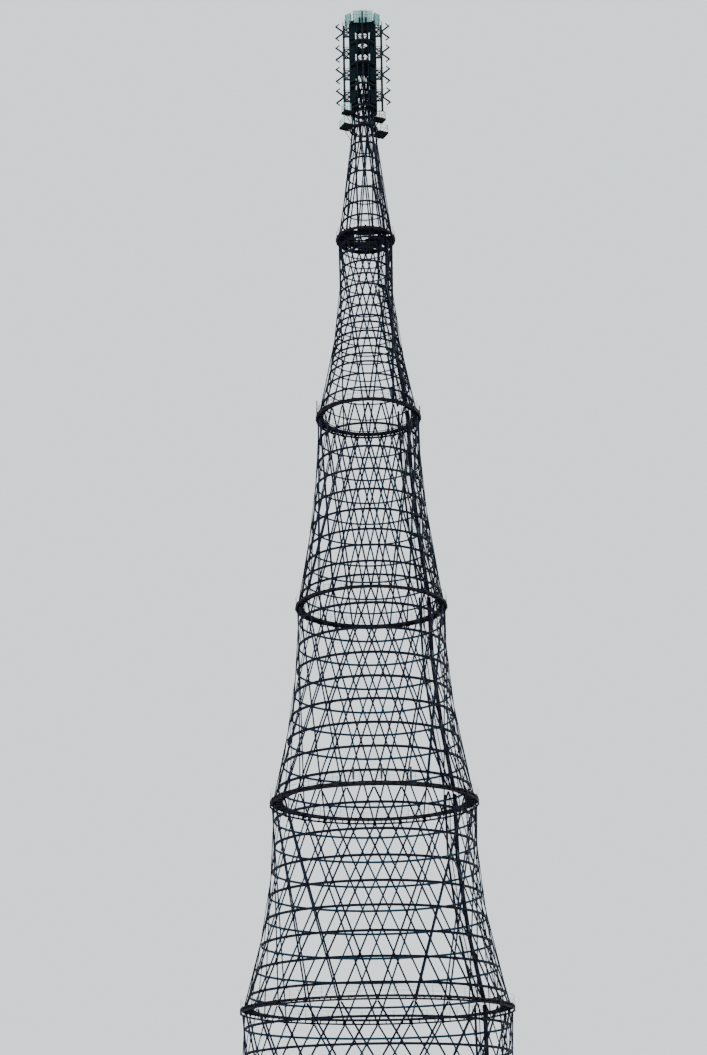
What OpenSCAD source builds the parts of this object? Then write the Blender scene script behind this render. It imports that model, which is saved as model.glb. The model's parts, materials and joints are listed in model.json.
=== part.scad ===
// Radio mast: a free-standing lattice tower of six stacked hyperboloid sections.
// Scale model at 1:10, in millimetres, so 1 mm here is 10 mm on the real tower.
// Z is up, the origin is on the ground at the centre of the round base.
// Azimuths count from the side at -Y, the one the photograph shows, towards +X.

/* [Heights] */
// Height of the concrete ring above the ground
plinth_h = 50; // [30:5:90]
// Height of each bearing shoe on the concrete ring
shoe_h = 20; // [12:1:30]
// Height of each of the six lattice sections
section_h = 2500; // [2300:50:2700]

/* [Lattice radii] */
// Radius of the circle of bar feet
foot_r = 2015; // [1950:5:2080]
// Radius of the bar ends at the first gallery
joint_1_r = 1600; // [1560:5:1640]
// Radius of the bar ends at the second gallery
joint_2_r = 1240; // [1210:5:1270]
// Radius of the bar ends at the third gallery
joint_3_r = 915; // [890:5:940]
// Radius of the bar ends at the fourth gallery
joint_4_r = 638; // [620:2:656]
// Radius of the bar ends at the fifth gallery
joint_5_r = 355; // [340:2:366]
// Radius of the bar ends under the head deck
head_r = 140; // [130:2:150]

/* [Bars and hoops] */
// Width of the square bars of the lowest section
foot_bar_w = 22; // [18:1:26]
// Width of the square bars of the top section
head_bar_w = 15; // [12:1:18]
// Radial thickness of a hoop
hoop_t = 8; // [5:1:12]
// Height of a hoop of the lower sections
hoop_h = 14; // [8:1:18]
// Height of a hoop of the two upper sections
slim_hoop_h = 11; // [7:1:14]

/* [Galleries] */
// Thickness of the ring decks at the joints
deck_t = 30; // [20:2:40]
// How far the ring decks stand out past the bar ends
deck_out = 32; // [28:1:45]
// Radial width of the first ring deck
deck_1_w = 180; // [150:5:200]
// Radial width of the second ring deck
deck_2_w = 170; // [140:5:190]
// Radial width of the third ring deck
deck_3_w = 140; // [120:5:160]
// Radial width of the fourth ring deck
deck_4_w = 100; // [90:5:120]
// Radius of the opening in the floor at the fifth gallery
floor_hole_r = 75; // [50:5:110]

/* [Ladder and feeders] */
// Azimuth of the ladder run
ladder_az = 50; // [48:1:52]
// Width of the ladder over both rails
ladder_w = 100; // [70:2:110]
// Distance between rungs
rung_step = 30; // [28:1:40]
// Azimuth of the feeder cable run
feeder_az = 67; // [65:1:70]
// Width of the feeder cable run
feeder_w = 46; // [30:2:60]

/* [Antennas] */
// Corner radius of the decks of the antenna cage
cage_r = 198; // [192:1:206]
// Height of one tier of the antenna cage
tier_h = 320; // [300:5:340]
// Distance of the four antenna poles from the axis
pole_r = 260; // [250:2:280]
// Reach of a dipole past its pole
dipole_reach = 104; // [80:2:120]
// Height of the tallest crown frame above the crown deck
crown_h = 183; // [160:1:200]

/* [Hidden] */

// Paint and concrete
dark_steel = "#2a2f3a";
deck_steel = "#24272e";
grey_steel = "#4a5059";
weathered = "#4c5a57";
cable_black = "#15171b";
concrete = "#9b978e";

// Gap between pieces that touch, and between the blocks of one ring
seat_gap = 0.15;
block_gap = 1;
panel_gap = 0.3;

// Layout of the six sections, from the lowest to the top one
bar_count = [24, 24, 24, 24, 12, 12];
twist = [45, 45, 45, 45, 75, 90];
phase = [0, 0, 0, 0, 0, 15];
// Number of panels that a section's lattice is divided into round the axis
panel_count = [12, 12, 12, 12, 6, 6];
joint_r = [foot_r, joint_1_r, joint_2_r, joint_3_r, joint_4_r, joint_5_r, head_r];
foot_z = plinth_h + shoe_h;
cage_deck_t = 14;
level = [foot_z, for (k = [1 : 6]) k * section_h];
cut_low = [foot_z, for (k = [1 : 5]) level[k] + deck_t / 2];
cut_high = [for (k = [1 : 5]) level[k] - deck_t / 2, level[6] - cage_deck_t / 2];
bar_w = [for (k = [0 : 5]) foot_bar_w + (head_bar_w - foot_bar_w) * k / 5];

// Hoop heights as shares of the section's height
even_hoops = [0.08, 0.2, 0.32, 0.44, 0.555, 0.675, 0.8, 0.925];
hoops_at = [
    even_hoops,
    even_hoops,
    even_hoops,
    [0.07, 0.143, 0.23, 0.315, 0.424, 0.532, 0.642, 0.764, 0.888],
    [0.088, 0.168, 0.24, 0.288, 0.33, 0.377, 0.42, 0.474, 0.513, 0.569, 0.63, 0.695, 0.755, 0.825, 0.9, 0.956],
    [0.09, 0.17, 0.257, 0.357, 0.443, 0.535, 0.635, 0.74, 0.85, 0.94]
];
// Number of arcs that make up one hoop
hoop_arcs = [8, 8, 8, 8, 6, 4];
// Hoops that carry a rest platform of the ladder
rest_hoops = [[2, 5], [2, 5], [2, 5], [3, 6], [4, 11], [3, 6]];

function section_hoop_h(k) = k < 4 ? hoop_h : slim_hoop_h;
function spot(r, a, z) = [r * sin(a), -r * cos(a), z];
function height_at(k, s) = level[k] + s * (level[k + 1] - level[k]);

function unit(v) = v / norm(v);
// The four corners of one bar where a level plane cuts it
function bar_corners(k, z) = let(
    low = spot(joint_r[k], 0, level[k]),
    high = spot(joint_r[k + 1], twist[k], level[k + 1]),
    along = unit(high - low),
    middle = [(low + high).x, (low + high).y, 0],
    radial = unit(middle - middle * along * along),
    across = cross(along, radial),
    centre = low + along * (z - low.z) / along.z
) [
    for (c = [[-1, -1], [-1, 1], [1, 1], [1, -1]])
        let(u = bar_w[k] / 2 * (c.x * radial + c.y * across))
            [(centre + u - along * u.z / along.z).x, (centre + u - along * u.z / along.z).y]
];
// Distance of the axis from the line between two corners
function edge_r(a, b) = let(t = a * (a - b) / ((b - a) * (b - a))) norm(a + max(0, min(1, t)) * (b - a));
// Radii of the circles that the bars leave free inside and outside at a height
function inner_r(k, z) = let(c = bar_corners(k, z)) min([for (i = [0 : 3]) edge_r(c[i], c[(i + 1) % 4])]);
function outer_r(k, z) = max([for (c = bar_corners(k, z)) norm(c)]);
// Distance to the middle of a flat piece of width w whose corners touch radius r
function chord_r(r, w) = sqrt(r * r - w * w / 4);

// Foundation and shoes
plinth_in = 85;
plinth_out = 78;
shoe_l = 92;
shoe_w = 70;

// Ring decks: outer corner radius, inner corner radius and number of blocks
deck_blocks = [0, 24, 24, 24, 24, 12];
deck_in = [0, deck_1_w, deck_2_w, deck_3_w, deck_4_w];
function deck_outer(j) = (joint_r[j] + deck_out) / cos(180 / 24);
function deck_inner(j) = j < 5 ? deck_outer(j) - deck_in[j] : floor_hole_r;

// Ladder
rail_t = 9;
rail_d = 16;
rung_r = 2.2;
ladder_gap = 20;
rest_side = 10;
rest_d = 96;
rest_t = 7;
feeder_t = 11;
cabinet_gap = 3;

// Service platforms round the top section
service_t = 10;
collar_w = 22;
service_turn = 26;
upper_z = level[6] - 710;
lower_z = level[6] - 920;
upper_size = [604, 116];
lower_size = [646, 166];
collar_blocks = 12;

// Guard rails
rail_h = 104;
rail_w = 5;
rail_post_w = 7;
rail_levels = [rail_h / 2, rail_h - 2 * rail_w];
rail_set_back = 14;
rod_w = 5;

// Antenna cage
tier_z = [for (k = [-2 : 1]) level[6] + k * tier_h];
crown_z = level[6] + 2 * tier_h;
post_w = 10;
post_r = cage_r - 11;
screen_t = 4;
screen_h = 196;
slit_w = 36;
waist_h = 6;
pole_w = 10;
arm_w = 6;
dipole_w = 7;
dipole_rise = 220;
mast_w = 50;
frame_post_w = 7;
frame_bar_w = 5;

// Straight square bar from p to q whose flats face the axis at its middle
module bar(p, q, w) {
    v = q - p;
    tilt = acos(v.z / norm(v));
    heading = atan2(v.y, v.x);
    side_x = [cos(tilt) * cos(heading), cos(tilt) * sin(heading), -sin(tilt)];
    side_y = [-sin(heading), cos(heading), 0];
    out = [(p + q).x, (p + q).y, 0];
    turn = atan2(out * side_y, out * side_x);
    translate(p)
        rotate([0, tilt, heading])
            rotate([0, 0, turn + 45])
                cylinder(h = norm(v), r = w / sqrt(2), $fn = 4);
}

// Round rod from p to q
module rod(p, q, w) {
    v = q - p;
    translate(p)
        rotate([0, acos(v.z / norm(v)), atan2(v.y, v.x)])
            cylinder(h = norm(v), r = w / 2, $fn = 6);
}

// Box that faces out at an azimuth: r is its inner face, z its underside
module box_at(az, r, z, size) {
    rotate([0, 0, az - 90])
        translate([r, -size.y / 2, z])
            cube(size);
}

// Everything between two heights
module slice(z0, z1) {
    translate([-foot_r - 200, -foot_r - 200, z0])
        cube([2 * foot_r + 400, 2 * foot_r + 400, z1 - z0]);
}

// Straight-sided blocks that close up to a ring
module block_ring(count, start, r_in, r_out, z, h) {
    half = 180 / count;
    for (k = [0 : count - 1])
        rotate([0, 0, start + k * 360 / count])
            translate([0, 0, z])
                linear_extrude(h)
                    polygon([
                        [-r_in * sin(half) + block_gap / 2, -r_in * cos(half)],
                        [r_in * sin(half) - block_gap / 2, -r_in * cos(half)],
                        [r_out * sin(half) - block_gap / 2, -r_out * cos(half)],
                        [-r_out * sin(half) + block_gap / 2, -r_out * cos(half)]
                    ]);
}

module foundation() {
    color(concrete)
        block_ring(24, 0, foot_r - plinth_in, foot_r + plinth_out, 0, plinth_h);
}

module bearing_shoes() {
    color(grey_steel)
        for (k = [0 : 23])
            box_at(k * 15, foot_r - shoe_l / 2, plinth_h, [shoe_l, shoe_w, shoe_h]);
}

// One bar from the foot at azimuth az, leaning to one side, and a little longer than the section
module lattice_bar(k, az, side) {
    low = spot(joint_r[k], az, level[k]);
    high = spot(joint_r[k + 1], az + side * twist[k], level[k + 1]);
    spare = unit(high - low) * bar_w[k] * 2;
    bar(low - spare, high + spare, bar_w[k]);
}

// Sector of the section whose sides stand back by half the gap between two panels
module sector(k, middle, half) {
    r = (max(joint_r[k], joint_r[k + 1]) + 2 * bar_w[k]) / cos(half);
    translate([0, 0, cut_low[k]])
        rotate([0, 0, middle])
            translate([0, -panel_gap / 2 / sin(half), 0])
                linear_extrude(cut_high[k] - cut_low[k])
                    polygon([[0, 0], [r * sin(half), -r * cos(half)], [-r * sin(half), -r * cos(half)]]);
}

// Two opposed families of straight bars, fused where they cross, in panels round the axis
module lattice(k) {
    step = 360 / bar_count[k];
    half = 180 / panel_count[k];
    color(dark_steel)
        for (m = [0 : panel_count[k] - 1]) {
            middle = phase[k] + step / 4 + (2 * m + 1) * half;
            intersection() {
                union() {
                    for (n = [0 : bar_count[k] - 1], side = [-1, 1]) {
                        off = (phase[k] + n * step + side * twist[k] / 2 - middle + 900) % 360 - 180;
                        if (abs(off) < half + twist[k] / 2 + step / 2)
                            lattice_bar(k, phase[k] + n * step, side);
                    }
                }
                sector(k, middle, half);
            }
        }
}

// Round hoops against the inside of the bars, each made of equal arcs
module hoops(k) {
    h = section_hoop_h(k);
    count = hoop_arcs[k];
    color(dark_steel)
        for (s = hoops_at[k]) {
            z = height_at(k, s);
            r = min([for (side = [-1, 0, 1]) inner_r(k, z + side * h / 2)]) - seat_gap;
            gap = block_gap / r * 180 / PI;
            for (n = [0 : count - 1])
                translate([0, 0, z - h / 2])
                    rotate([0, 0, n * 360 / count + gap / 2])
                        rotate_extrude(angle = 360 / count - gap, $fn = 96)
                            translate([r - hoop_t, 0])
                                square([hoop_t, h]);
        }
}

module gallery(j) {
    color(deck_steel)
        block_ring(deck_blocks[j], j == 5 ? 15 : 0, deck_inner(j), deck_outer(j), level[j] - deck_t / 2, deck_t);
}

// Heights at which the ladder bends: section ends and rest platforms
function rest_z(k, i) = height_at(k, hoops_at[k][rest_hoops[k][i]]) + section_hoop_h(k) / 2;
function run_low(k) = k == 0 ? plinth_h : cut_low[k];
function run_z(k) = [run_low(k), rest_z(k, 0), rest_z(k, 1), cut_high[k]];
// Distance of a flat run of width w from the axis, inside the hoops
function run_r(k, z, w) = chord_r(inner_r(k, max(z, level[k])) - hoop_t - ladder_gap, w);
function run_w(k) = k < 5 ? ladder_w : ladder_w * 0.6;
function rest_w(k) = run_w(k) + 2 * rest_side;
// Azimuth of the feeders, which keep clear of the rest platforms where the section is narrow
function feeder_side(k) = let(r = min([for (z = run_z(k)) run_r(k, z, feeder_w)]))
    max(feeder_az, ladder_az + 2 * asin((rest_w(k) + feeder_w + 2 * rest_side) / 4 / r));

// One flight of ladder, upright in its own frame, from height a to height b
module flight(k, a, b) {
    w = run_w(k);
    ra = run_r(k, a, w);
    rb = run_r(k, b, w);
    lean = atan2(ra - rb, b - a);
    length = norm([ra - rb, b - a]);
    intersection() {
        rotate([0, 0, ladder_az - 90])
            translate([ra, 0, a])
                rotate([0, -lean, 0]) {
                    for (side = [-1, 1])
                        translate([-rail_d, side * (w - rail_t) / 2 - rail_t / 2, -rail_d])
                            cube([rail_d, rail_t, length + 2 * rail_d]);
                    for (z = [rung_step : rung_step : length - rung_step / 2])
                        translate([-rail_d / 2, -w / 2 + rail_t - 1, z])
                            rotate([-90, 0, 0])
                                cylinder(h = w - 2 * rail_t + 2, r = rung_r, $fn = 24);
                }
        slice(a, b);
    }
}

module ladder(k) {
    z = run_z(k);
    color(grey_steel) {
        flight(k, z[0], z[1]);
        flight(k, z[1] + rest_t, z[2]);
        flight(k, z[2] + rest_t, z[3]);
    }
}

// Landing plates that lie on a hoop and carry the next flight
module rest_platforms() {
    color(deck_steel)
        for (k = [0 : 5], i = [0, 1]) {
            z = rest_z(k, i);
            r = chord_r(min(inner_r(k, z), inner_r(k, z + rest_t)) - seat_gap, rest_w(k));
            depth = k < 5 ? rest_d : rest_d * 0.6;
            box_at(ladder_az, r - depth, z, [depth, rest_w(k), rest_t]);
        }
}

// Flat bundle of cables beside the ladder, in lengths that end where the ladder bends
module feeder_run() {
    color(cable_black)
        for (k = [0 : 5], i = [0 : 2]) {
            low = run_z(k)[i] + (i > 0 ? seat_gap : 0);
            high = run_z(k)[i + 1];
            ra = run_r(k, low, feeder_w);
            rb = run_r(k, high, feeder_w);
            intersection() {
                rotate([0, 0, feeder_side(k) - 90])
                    translate([ra, 0, low])
                        rotate([0, -atan2(ra - rb, high - low), 0])
                            translate([-feeder_t, -feeder_w / 2, -feeder_t])
                                cube([feeder_t, feeder_w, norm([ra - rb, high - low]) + 2 * feeder_t]);
                slice(low, high);
            }
        }
}

// Cabinet on a gallery, with its back close to the bars
module cabinet(j, az, size) {
    z = level[j] + deck_t / 2;
    r = chord_r(inner_r(j, z + size.z) - cabinet_gap, size.y);
    box_at(az, r - size.x, z, size);
}

module equipment_boxes() {
    color(grey_steel) {
        cabinet(3, 77, [50, 90, 118]);
        cabinet(3, 85, [50, 60, 92]);
        cabinet(4, 84, [34, 70, 104]);
    }
}

// Upright panel on a short pole at the outer edge of a gallery
module panel_antenna(j, az, h) {
    r = deck_outer(j) * cos(180 / deck_blocks[j]) - 16;
    z = level[j] + deck_t / 2;
    box_at(az, r, z, [10, 10, 60]);
    box_at(az, r - 3, z + 60, [16, 24, h]);
}

module panel_antennas() {
    color(grey_steel) {
        panel_antenna(2, -11, 150);
        panel_antenna(2, 4, 170);
        panel_antenna(2, 20, 150);
        panel_antenna(4, 26, 90);
    }
}

// Whip on a foot plate with a short cross arm
module whip_antenna(az, h, arm) {
    r = deck_outer(4) * cos(180 / deck_blocks[4]) - 14;
    z = level[4] + deck_t / 2;
    box_at(az, r, z, [12, 12, 6]);
    rod(spot(r + 6, az, z + 5), spot(r + 6, az, z + h), rod_w);
    if (arm > 0)
        rod(spot(r + 6, az, z + h * 0.6), spot(r + 6 - arm, az, z + h * 0.6), rod_w);
}

module whip_antennas() {
    color(grey_steel) {
        union() whip_antenna(-96, 285, 26);
        union() whip_antenna(96, 190, 0);
    }
}

// Collar of straight blocks round the lattice, with a plank that stands out on both sides
module service_platform(z, size) {
    flat = cos(180 / collar_blocks);
    r = (max(outer_r(5, z), outer_r(5, z + service_t)) + seat_gap) / flat;
    x0 = (r + collar_w) * flat + seat_gap;
    color(deck_steel) {
        block_ring(collar_blocks, service_turn, r, r + collar_w, z, service_t);
        for (dir = [0, 180])
            rotate([0, 0, service_turn + dir])
                translate([x0, -size.y / 2, z])
                    cube([size.x / 2 - x0, size.y, service_t]);
    }
}

// Guard rail round the free end of one plank: four posts and two U-shaped rails
module plank_rail(z, size) {
    x0 = cage_r + rail_set_back;
    x1 = size.x / 2 - rail_post_w;
    y1 = size.y / 2 - rail_post_w;
    for (x = [x0, x1], y = [-y1, y1])
        translate([x - rail_post_w / 2, y - rail_post_w / 2, z])
            cube([rail_post_w, rail_post_w, rail_h]);
    for (h = rail_levels)
        translate([0, 0, z + h])
            linear_extrude(rail_w)
                difference() {
                    translate([x0, -y1 - rail_w / 2])
                        square([x1 - x0 + rail_w / 2, 2 * y1 + rail_w]);
                    translate([x0 - 1, -y1 + rail_w / 2])
                        square([x1 - x0 + 1 - rail_w / 2, 2 * y1 - rail_w]);
                }
}

module platform_rails() {
    color(weathered)
        for (dir = [0, 180])
            rotate([0, 0, service_turn + dir]) {
                union() plank_rail(lower_z + service_t, lower_size);
                union() plank_rail(upper_z + service_t, upper_size);
            }
}

module octagon_plate(z, r) {
    translate([0, 0, z - cage_deck_t / 2])
        rotate([0, 0, 22.5])
            cylinder(h = cage_deck_t, r = r, $fn = 8);
}

module head_deck() {
    color(deck_steel)
        octagon_plate(level[6], cage_r);
}

// One tier of the cage: floor ring, posts, waist bars and reflector screens
module antenna_tier(k) {
    low = tier_z[k] + cage_deck_t / 2;
    height = tier_h - cage_deck_t;
    root = k == 2 ? 0 : cage_deck_t / 2;
    bay_w = 2 * post_r * sin(22.5) - post_w;
    bay_r = post_r * cos(22.5);
    hole = k > 1 ? 0 : max(outer_r(5, tier_z[k] - cage_deck_t), outer_r(5, tier_z[k] + cage_deck_t)) + seat_gap;
    color(dark_steel)
        union() {
            if (k != 2)
                difference() {
                    octagon_plate(tier_z[k], cage_r);
                    if (hole > 0)
                        translate([0, 0, tier_z[k] - cage_deck_t])
                            cylinder(h = 2 * cage_deck_t, r = hole, $fn = 64);
                }
            for (n = [0 : 7])
                box_at(n * 45 + 22.5, post_r - post_w / 2, low - root, [post_w, post_w, height + root]);
            for (n = [0 : 7])
                box_at(n * 45, bay_r - screen_t / 2, low + height / 2, [screen_t, bay_w + post_w, waist_h]);
            for (az = [90, 270])
                box_at(az, bay_r - screen_t / 2, low + (height - screen_h) / 2, [screen_t, bay_w + post_w, screen_h]);
            for (az = [45, 135, 225, 315]) {
                shift = (az == 45 || az == 225) ? slit_w / 2 : -slit_w / 2;
                rotate([0, 0, az - 90])
                    translate([bay_r - screen_t / 2, -(bay_w + post_w - slit_w) / 2 + shift, low + (height - screen_h) / 2])
                        cube([screen_t, bay_w + post_w - slit_w, screen_h]);
            }
            if (k > 1)
                translate([0, 0, low])
                    cylinder(h = height, r = mast_w / 2, $fn = 8);
        }
}

// Four upright poles held off the cage by short arms
module antenna_poles() {
    edge = cage_r * cos(22.5);
    waist = post_r * cos(22.5) + screen_t / 2;
    z0 = tier_z[0] - cage_deck_t / 2;
    color(dark_steel)
        for (az = [0 : 90 : 270])
            union() {
                box_at(az, pole_r - pole_w / 2, z0, [pole_w, pole_w, crown_z - z0 + 60]);
                for (z = concat(tier_z, [crown_z]))
                    box_at(az, edge, z - arm_w / 2, [pole_r - edge, arm_w, arm_w]);
                for (z = tier_z)
                    box_at(az, waist, z + tier_h / 2, [pole_r - waist, arm_w, arm_w]);
            }
}

// Two folded arms above and below one clamp, at each of the four poles
module dipoles(k) {
    z = tier_z[k] + dipole_rise;
    root = pole_r + pole_w / 2;
    tip = pole_r + dipole_reach;
    color(dark_steel)
        for (az = [0 : 90 : 270])
            union() {
                box_at(az, root, z - 34, [9, 12, 68]);
                for (up = [-1, 1]) {
                    rod(spot(root + 5, az, z + up * 26), spot(tip, az, z + up * 88), dipole_w);
                    rod(spot(tip, az, z + up * 88), spot(tip - 52, az, z + up * 128), dipole_w);
                }
            }
}

module crown_deck() {
    color(deck_steel)
        octagon_plate(crown_z, cage_r - 6);
}

module crown_rail() {
    z = crown_z + cage_deck_t / 2;
    r = cage_r - 22;
    color(weathered)
        union() {
            for (n = [0 : 7])
                box_at(n * 45 + 22.5, r - rail_post_w / 2, z, [rail_post_w, rail_post_w, rail_h]);
            for (h = rail_levels)
                translate([0, 0, z + h])
                    rotate([0, 0, 22.5])
                        linear_extrude(rail_w)
                            difference() {
                                circle(r = r + rail_w / 2, $fn = 8);
                                circle(r = r - rail_w / 2, $fn = 8);
                            }
        }
}

// Small upright frame on the crown deck, leaning out by lean degrees
module crown_frame(az, r, w, h, lean) {
    z = crown_z + cage_deck_t / 2;
    foot = [16, w + 6, 8];
    box_at(az, r - foot.x / 2, z, foot);
    rotate([0, 0, az - 90])
        translate([r, 0, z + foot.z / 2])
            rotate([0, lean, 0]) {
                for (side = [-1, 1])
                    translate([-frame_post_w / 2, side * (w - frame_post_w) / 2 - frame_post_w / 2, 0])
                        cube([frame_post_w, frame_post_w, h]);
                for (share_up = [0.42, 0.68, 0.94])
                    translate([-frame_bar_w / 2, -w / 2 + 1, h * share_up - frame_bar_w / 2])
                        cube([frame_bar_w, w - 2, frame_bar_w]);
            }
}

module crown_frames() {
    color(weathered) {
        union() crown_frame(0, 120, 84, crown_h - 4, 0);
        union() crown_frame(180, 120, 84, crown_h - 20, 0);
        union() crown_frame(80, 96, 70, 150, 22);
        union() crown_frame(280, 96, 70, 150, 22);
    }
}

foundation();
bearing_shoes();
lattice(0);  // section_1_lattice
lattice(1);  // section_2_lattice
lattice(2);  // section_3_lattice
lattice(3);  // section_4_lattice
lattice(4);  // section_5_lattice
lattice(5);  // section_6_lattice
hoops(0);  // section_1_hoops
hoops(1);  // section_2_hoops
hoops(2);  // section_3_hoops
hoops(3);  // section_4_hoops
hoops(4);  // section_5_hoops
hoops(5);  // section_6_hoops
gallery(1);  // gallery_1
gallery(2);  // gallery_2
gallery(3);  // gallery_3
gallery(4);  // gallery_4
gallery(5);  // gallery_5
ladder(0);  // ladder_1
ladder(1);  // ladder_2
ladder(2);  // ladder_3
ladder(3);  // ladder_4
ladder(4);  // ladder_5
ladder(5);  // ladder_6
rest_platforms();
feeder_run();
equipment_boxes();
panel_antennas();
whip_antennas();
service_platform(lower_z, lower_size);  // lower_service_platform
service_platform(upper_z, upper_size);  // upper_service_platform
platform_rails();
head_deck();
antenna_tier(0);  // antenna_tier_1
antenna_tier(1);  // antenna_tier_2
antenna_tier(2);  // antenna_tier_3
antenna_tier(3);  // antenna_tier_4
antenna_poles();
dipoles(0);  // dipoles_1
dipoles(1);  // dipoles_2
dipoles(2);  // dipoles_3
dipoles(3);  // dipoles_4
crown_deck();
crown_rail();
crown_frames();
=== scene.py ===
import bmesh
import bpy
import json
import math
from functools import partial
import numpy as np
from mathutils import Matrix, Vector


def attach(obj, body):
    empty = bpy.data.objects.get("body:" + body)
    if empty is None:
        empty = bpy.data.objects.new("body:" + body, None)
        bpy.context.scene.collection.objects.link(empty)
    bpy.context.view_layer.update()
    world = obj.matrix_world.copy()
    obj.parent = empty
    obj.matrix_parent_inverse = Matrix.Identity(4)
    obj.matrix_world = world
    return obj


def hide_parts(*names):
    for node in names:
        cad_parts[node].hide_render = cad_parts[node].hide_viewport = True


# Radio mast, 1:10. Metres in the scene, millimetres in the dictionaries.
# Azimuths count from the side at -Y, the one the photograph shows, towards +X.
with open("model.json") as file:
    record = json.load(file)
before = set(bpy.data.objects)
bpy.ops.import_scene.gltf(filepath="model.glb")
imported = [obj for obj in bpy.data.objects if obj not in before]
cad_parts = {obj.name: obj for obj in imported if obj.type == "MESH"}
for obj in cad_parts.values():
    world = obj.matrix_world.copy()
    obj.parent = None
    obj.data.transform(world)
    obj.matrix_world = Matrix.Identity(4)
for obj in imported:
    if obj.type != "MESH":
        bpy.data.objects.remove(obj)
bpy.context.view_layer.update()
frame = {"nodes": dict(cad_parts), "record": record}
nodes = frame["nodes"]
mm = 0.001

tower = {
    "shoeTop": 70, "sectionHeight": 2500, "deckThickness": 30, "cageDeck": 14,
    "jointRadius": [2015, 1600, 1240, 915, 638, 355, 140],
    "barCount": [24, 24, 24, 24, 12, 12],
    "twist": [45, 45, 45, 45, 75, 90],
    "phase": [0, 0, 0, 0, 0, 15],
    "footBar": 22, "headBar": 15,
    "evenHoops": [0.08, 0.2, 0.32, 0.44, 0.555, 0.675, 0.8, 0.925],
    "hoopDepth": 8, "hoopHeight": [14, 14, 14, 14, 11, 11], "seatGap": 0.15,
    "galleryOverhang": 32, "galleryWidth": [0, 180, 170, 140, 100],
}
hoopShares = [tower["evenHoops"]] * 3 + [
    [0.07, 0.143, 0.23, 0.315, 0.424, 0.532, 0.642, 0.764, 0.888],
    [0.088, 0.168, 0.24, 0.288, 0.33, 0.377, 0.42, 0.474,
     0.513, 0.569, 0.63, 0.695, 0.755, 0.825, 0.9, 0.956],
    [0.09, 0.17, 0.257, 0.357, 0.443, 0.535, 0.635, 0.74, 0.85, 0.94],
]
levels = [tower["shoeTop"]] + [k * tower["sectionHeight"] for k in range(1, 7)]
halfDeck = tower["deckThickness"] / 2
cutLow = [levels[0]] + [z + halfDeck for z in levels[1:6]]
cutHigh = [z - halfDeck for z in levels[1:6]] + [levels[6] - tower["cageDeck"] / 2]
barWidth = [tower["footBar"] + (tower["headBar"] - tower["footBar"]) * k / 5 for k in range(6)]
halfTurn = Matrix.Rotation(math.pi, 4, "Z")


# Places on the tower

def spot(radius, azimuth, z):
    a = math.radians(azimuth)
    return Vector((radius * math.sin(a), -radius * math.cos(a), z))


def around(azimuth, radius=0, z=0):
    # X points outwards at the azimuth, Y goes round, Z is up; the place is in mm
    return Matrix.Rotation(math.radians(azimuth - 90), 4, "Z") @ Matrix.Translation((radius * mm, 0, z * mm))


def ringOf(count, start=0, radius=0, z=0):
    # The same place at even steps round the tower
    return [around(start + n * 360 / count, radius, z) for n in range(count)]


def swing(k, share):
    # Azimuth that a bar has gained at a share of its section's height
    low, high, turn = tower["jointRadius"][k], tower["jointRadius"][k + 1], math.radians(tower["twist"][k])
    return math.degrees(math.atan2(
        high * share * math.sin(turn), low * (1 - share) + high * share * math.cos(turn)))


def shareAtSwing(k, angle):
    low, high = tower["jointRadius"][k], tower["jointRadius"][k + 1]
    a, rest = math.radians(angle), math.radians(tower["twist"][k] - angle)
    return low * math.sin(a) / (low * math.sin(a) + high * math.sin(rest))


def heightAt(k, share):
    return levels[k] + share * (levels[k + 1] - levels[k])


def barAxes(k, azimuth, side):
    low = spot(tower["jointRadius"][k], azimuth, levels[k])
    high = spot(tower["jointRadius"][k + 1], azimuth + side * tower["twist"][k], levels[k + 1])
    along = (high - low).normalized()
    middle = Vector(((low + high).x, (low + high).y, 0))
    radial = (middle - middle.dot(along) * along).normalized()
    return low, along, radial, along.cross(radial)


def barMatrix(k, azimuth, side, z, offset=0):
    # X points outwards across the bar, Z runs along it, from the point at height z
    low, along, radial, across = barAxes(k, azimuth, side)
    place = low + along * (z - low.z) / along.z + radial * offset
    turned = Matrix((radial, across, along)).transposed().to_4x4()
    return Matrix.Translation(place * mm) @ turned


def lineRadius(k, z):
    low, along, radial, across = barAxes(k, 0, 1)
    place = low + along * (z - low.z) / along.z
    return math.hypot(place.x, place.y)


def innerRadius(k, z):
    # Radius that the bars leave free inside at a height
    low, along, radial, across = barAxes(k, 0, 1)
    place = low + along * (z - low.z) / along.z
    half = barWidth[k] / 2
    corners = []
    for i, j in ((-1, -1), (-1, 1), (1, 1), (1, -1)):
        u = half * (i * radial + j * across)
        corner = place + u - along * u.z / along.z
        corners.append(Vector((corner.x, corner.y)))
    best = 1e9
    for i in range(4):
        a, b = corners[i], corners[(i + 1) % 4]
        t = min(1, max(0, -a.dot(b - a) / (b - a).length_squared))
        best = min(best, (a + t * (b - a)).length)
    return best


# Modelling helpers

def clearSelection():
    if bpy.context.object and bpy.context.object.mode != "OBJECT":
        bpy.ops.object.mode_set(mode="OBJECT")
    bpy.ops.object.select_all(action="DESELECT")


def onlySelected(piece):
    clearSelection()
    piece.select_set(True)
    bpy.context.view_layer.objects.active = piece


def settle(piece):
    # The object goes to the origin and its place into the mesh
    onlySelected(piece)
    bpy.ops.object.transform_apply(location=True, rotation=True, scale=True)
    return piece


def addBlock(size, at=(0, 0, 0)):
    # size and place in mm
    clearSelection()
    bpy.ops.mesh.primitive_cube_add(size=1, location=[c * mm for c in at])
    piece = bpy.context.object
    piece.scale = [s * mm for s in size]
    return settle(piece)


def addRound(radius, height, sides, at=(0, 0, 0), turn=(0, 0, 0)):
    clearSelection()
    bpy.ops.mesh.primitive_cylinder_add(
        vertices=sides, radius=radius * mm, depth=height * mm,
        location=[c * mm for c in at], rotation=[math.radians(t) for t in turn])
    return settle(bpy.context.object)


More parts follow.
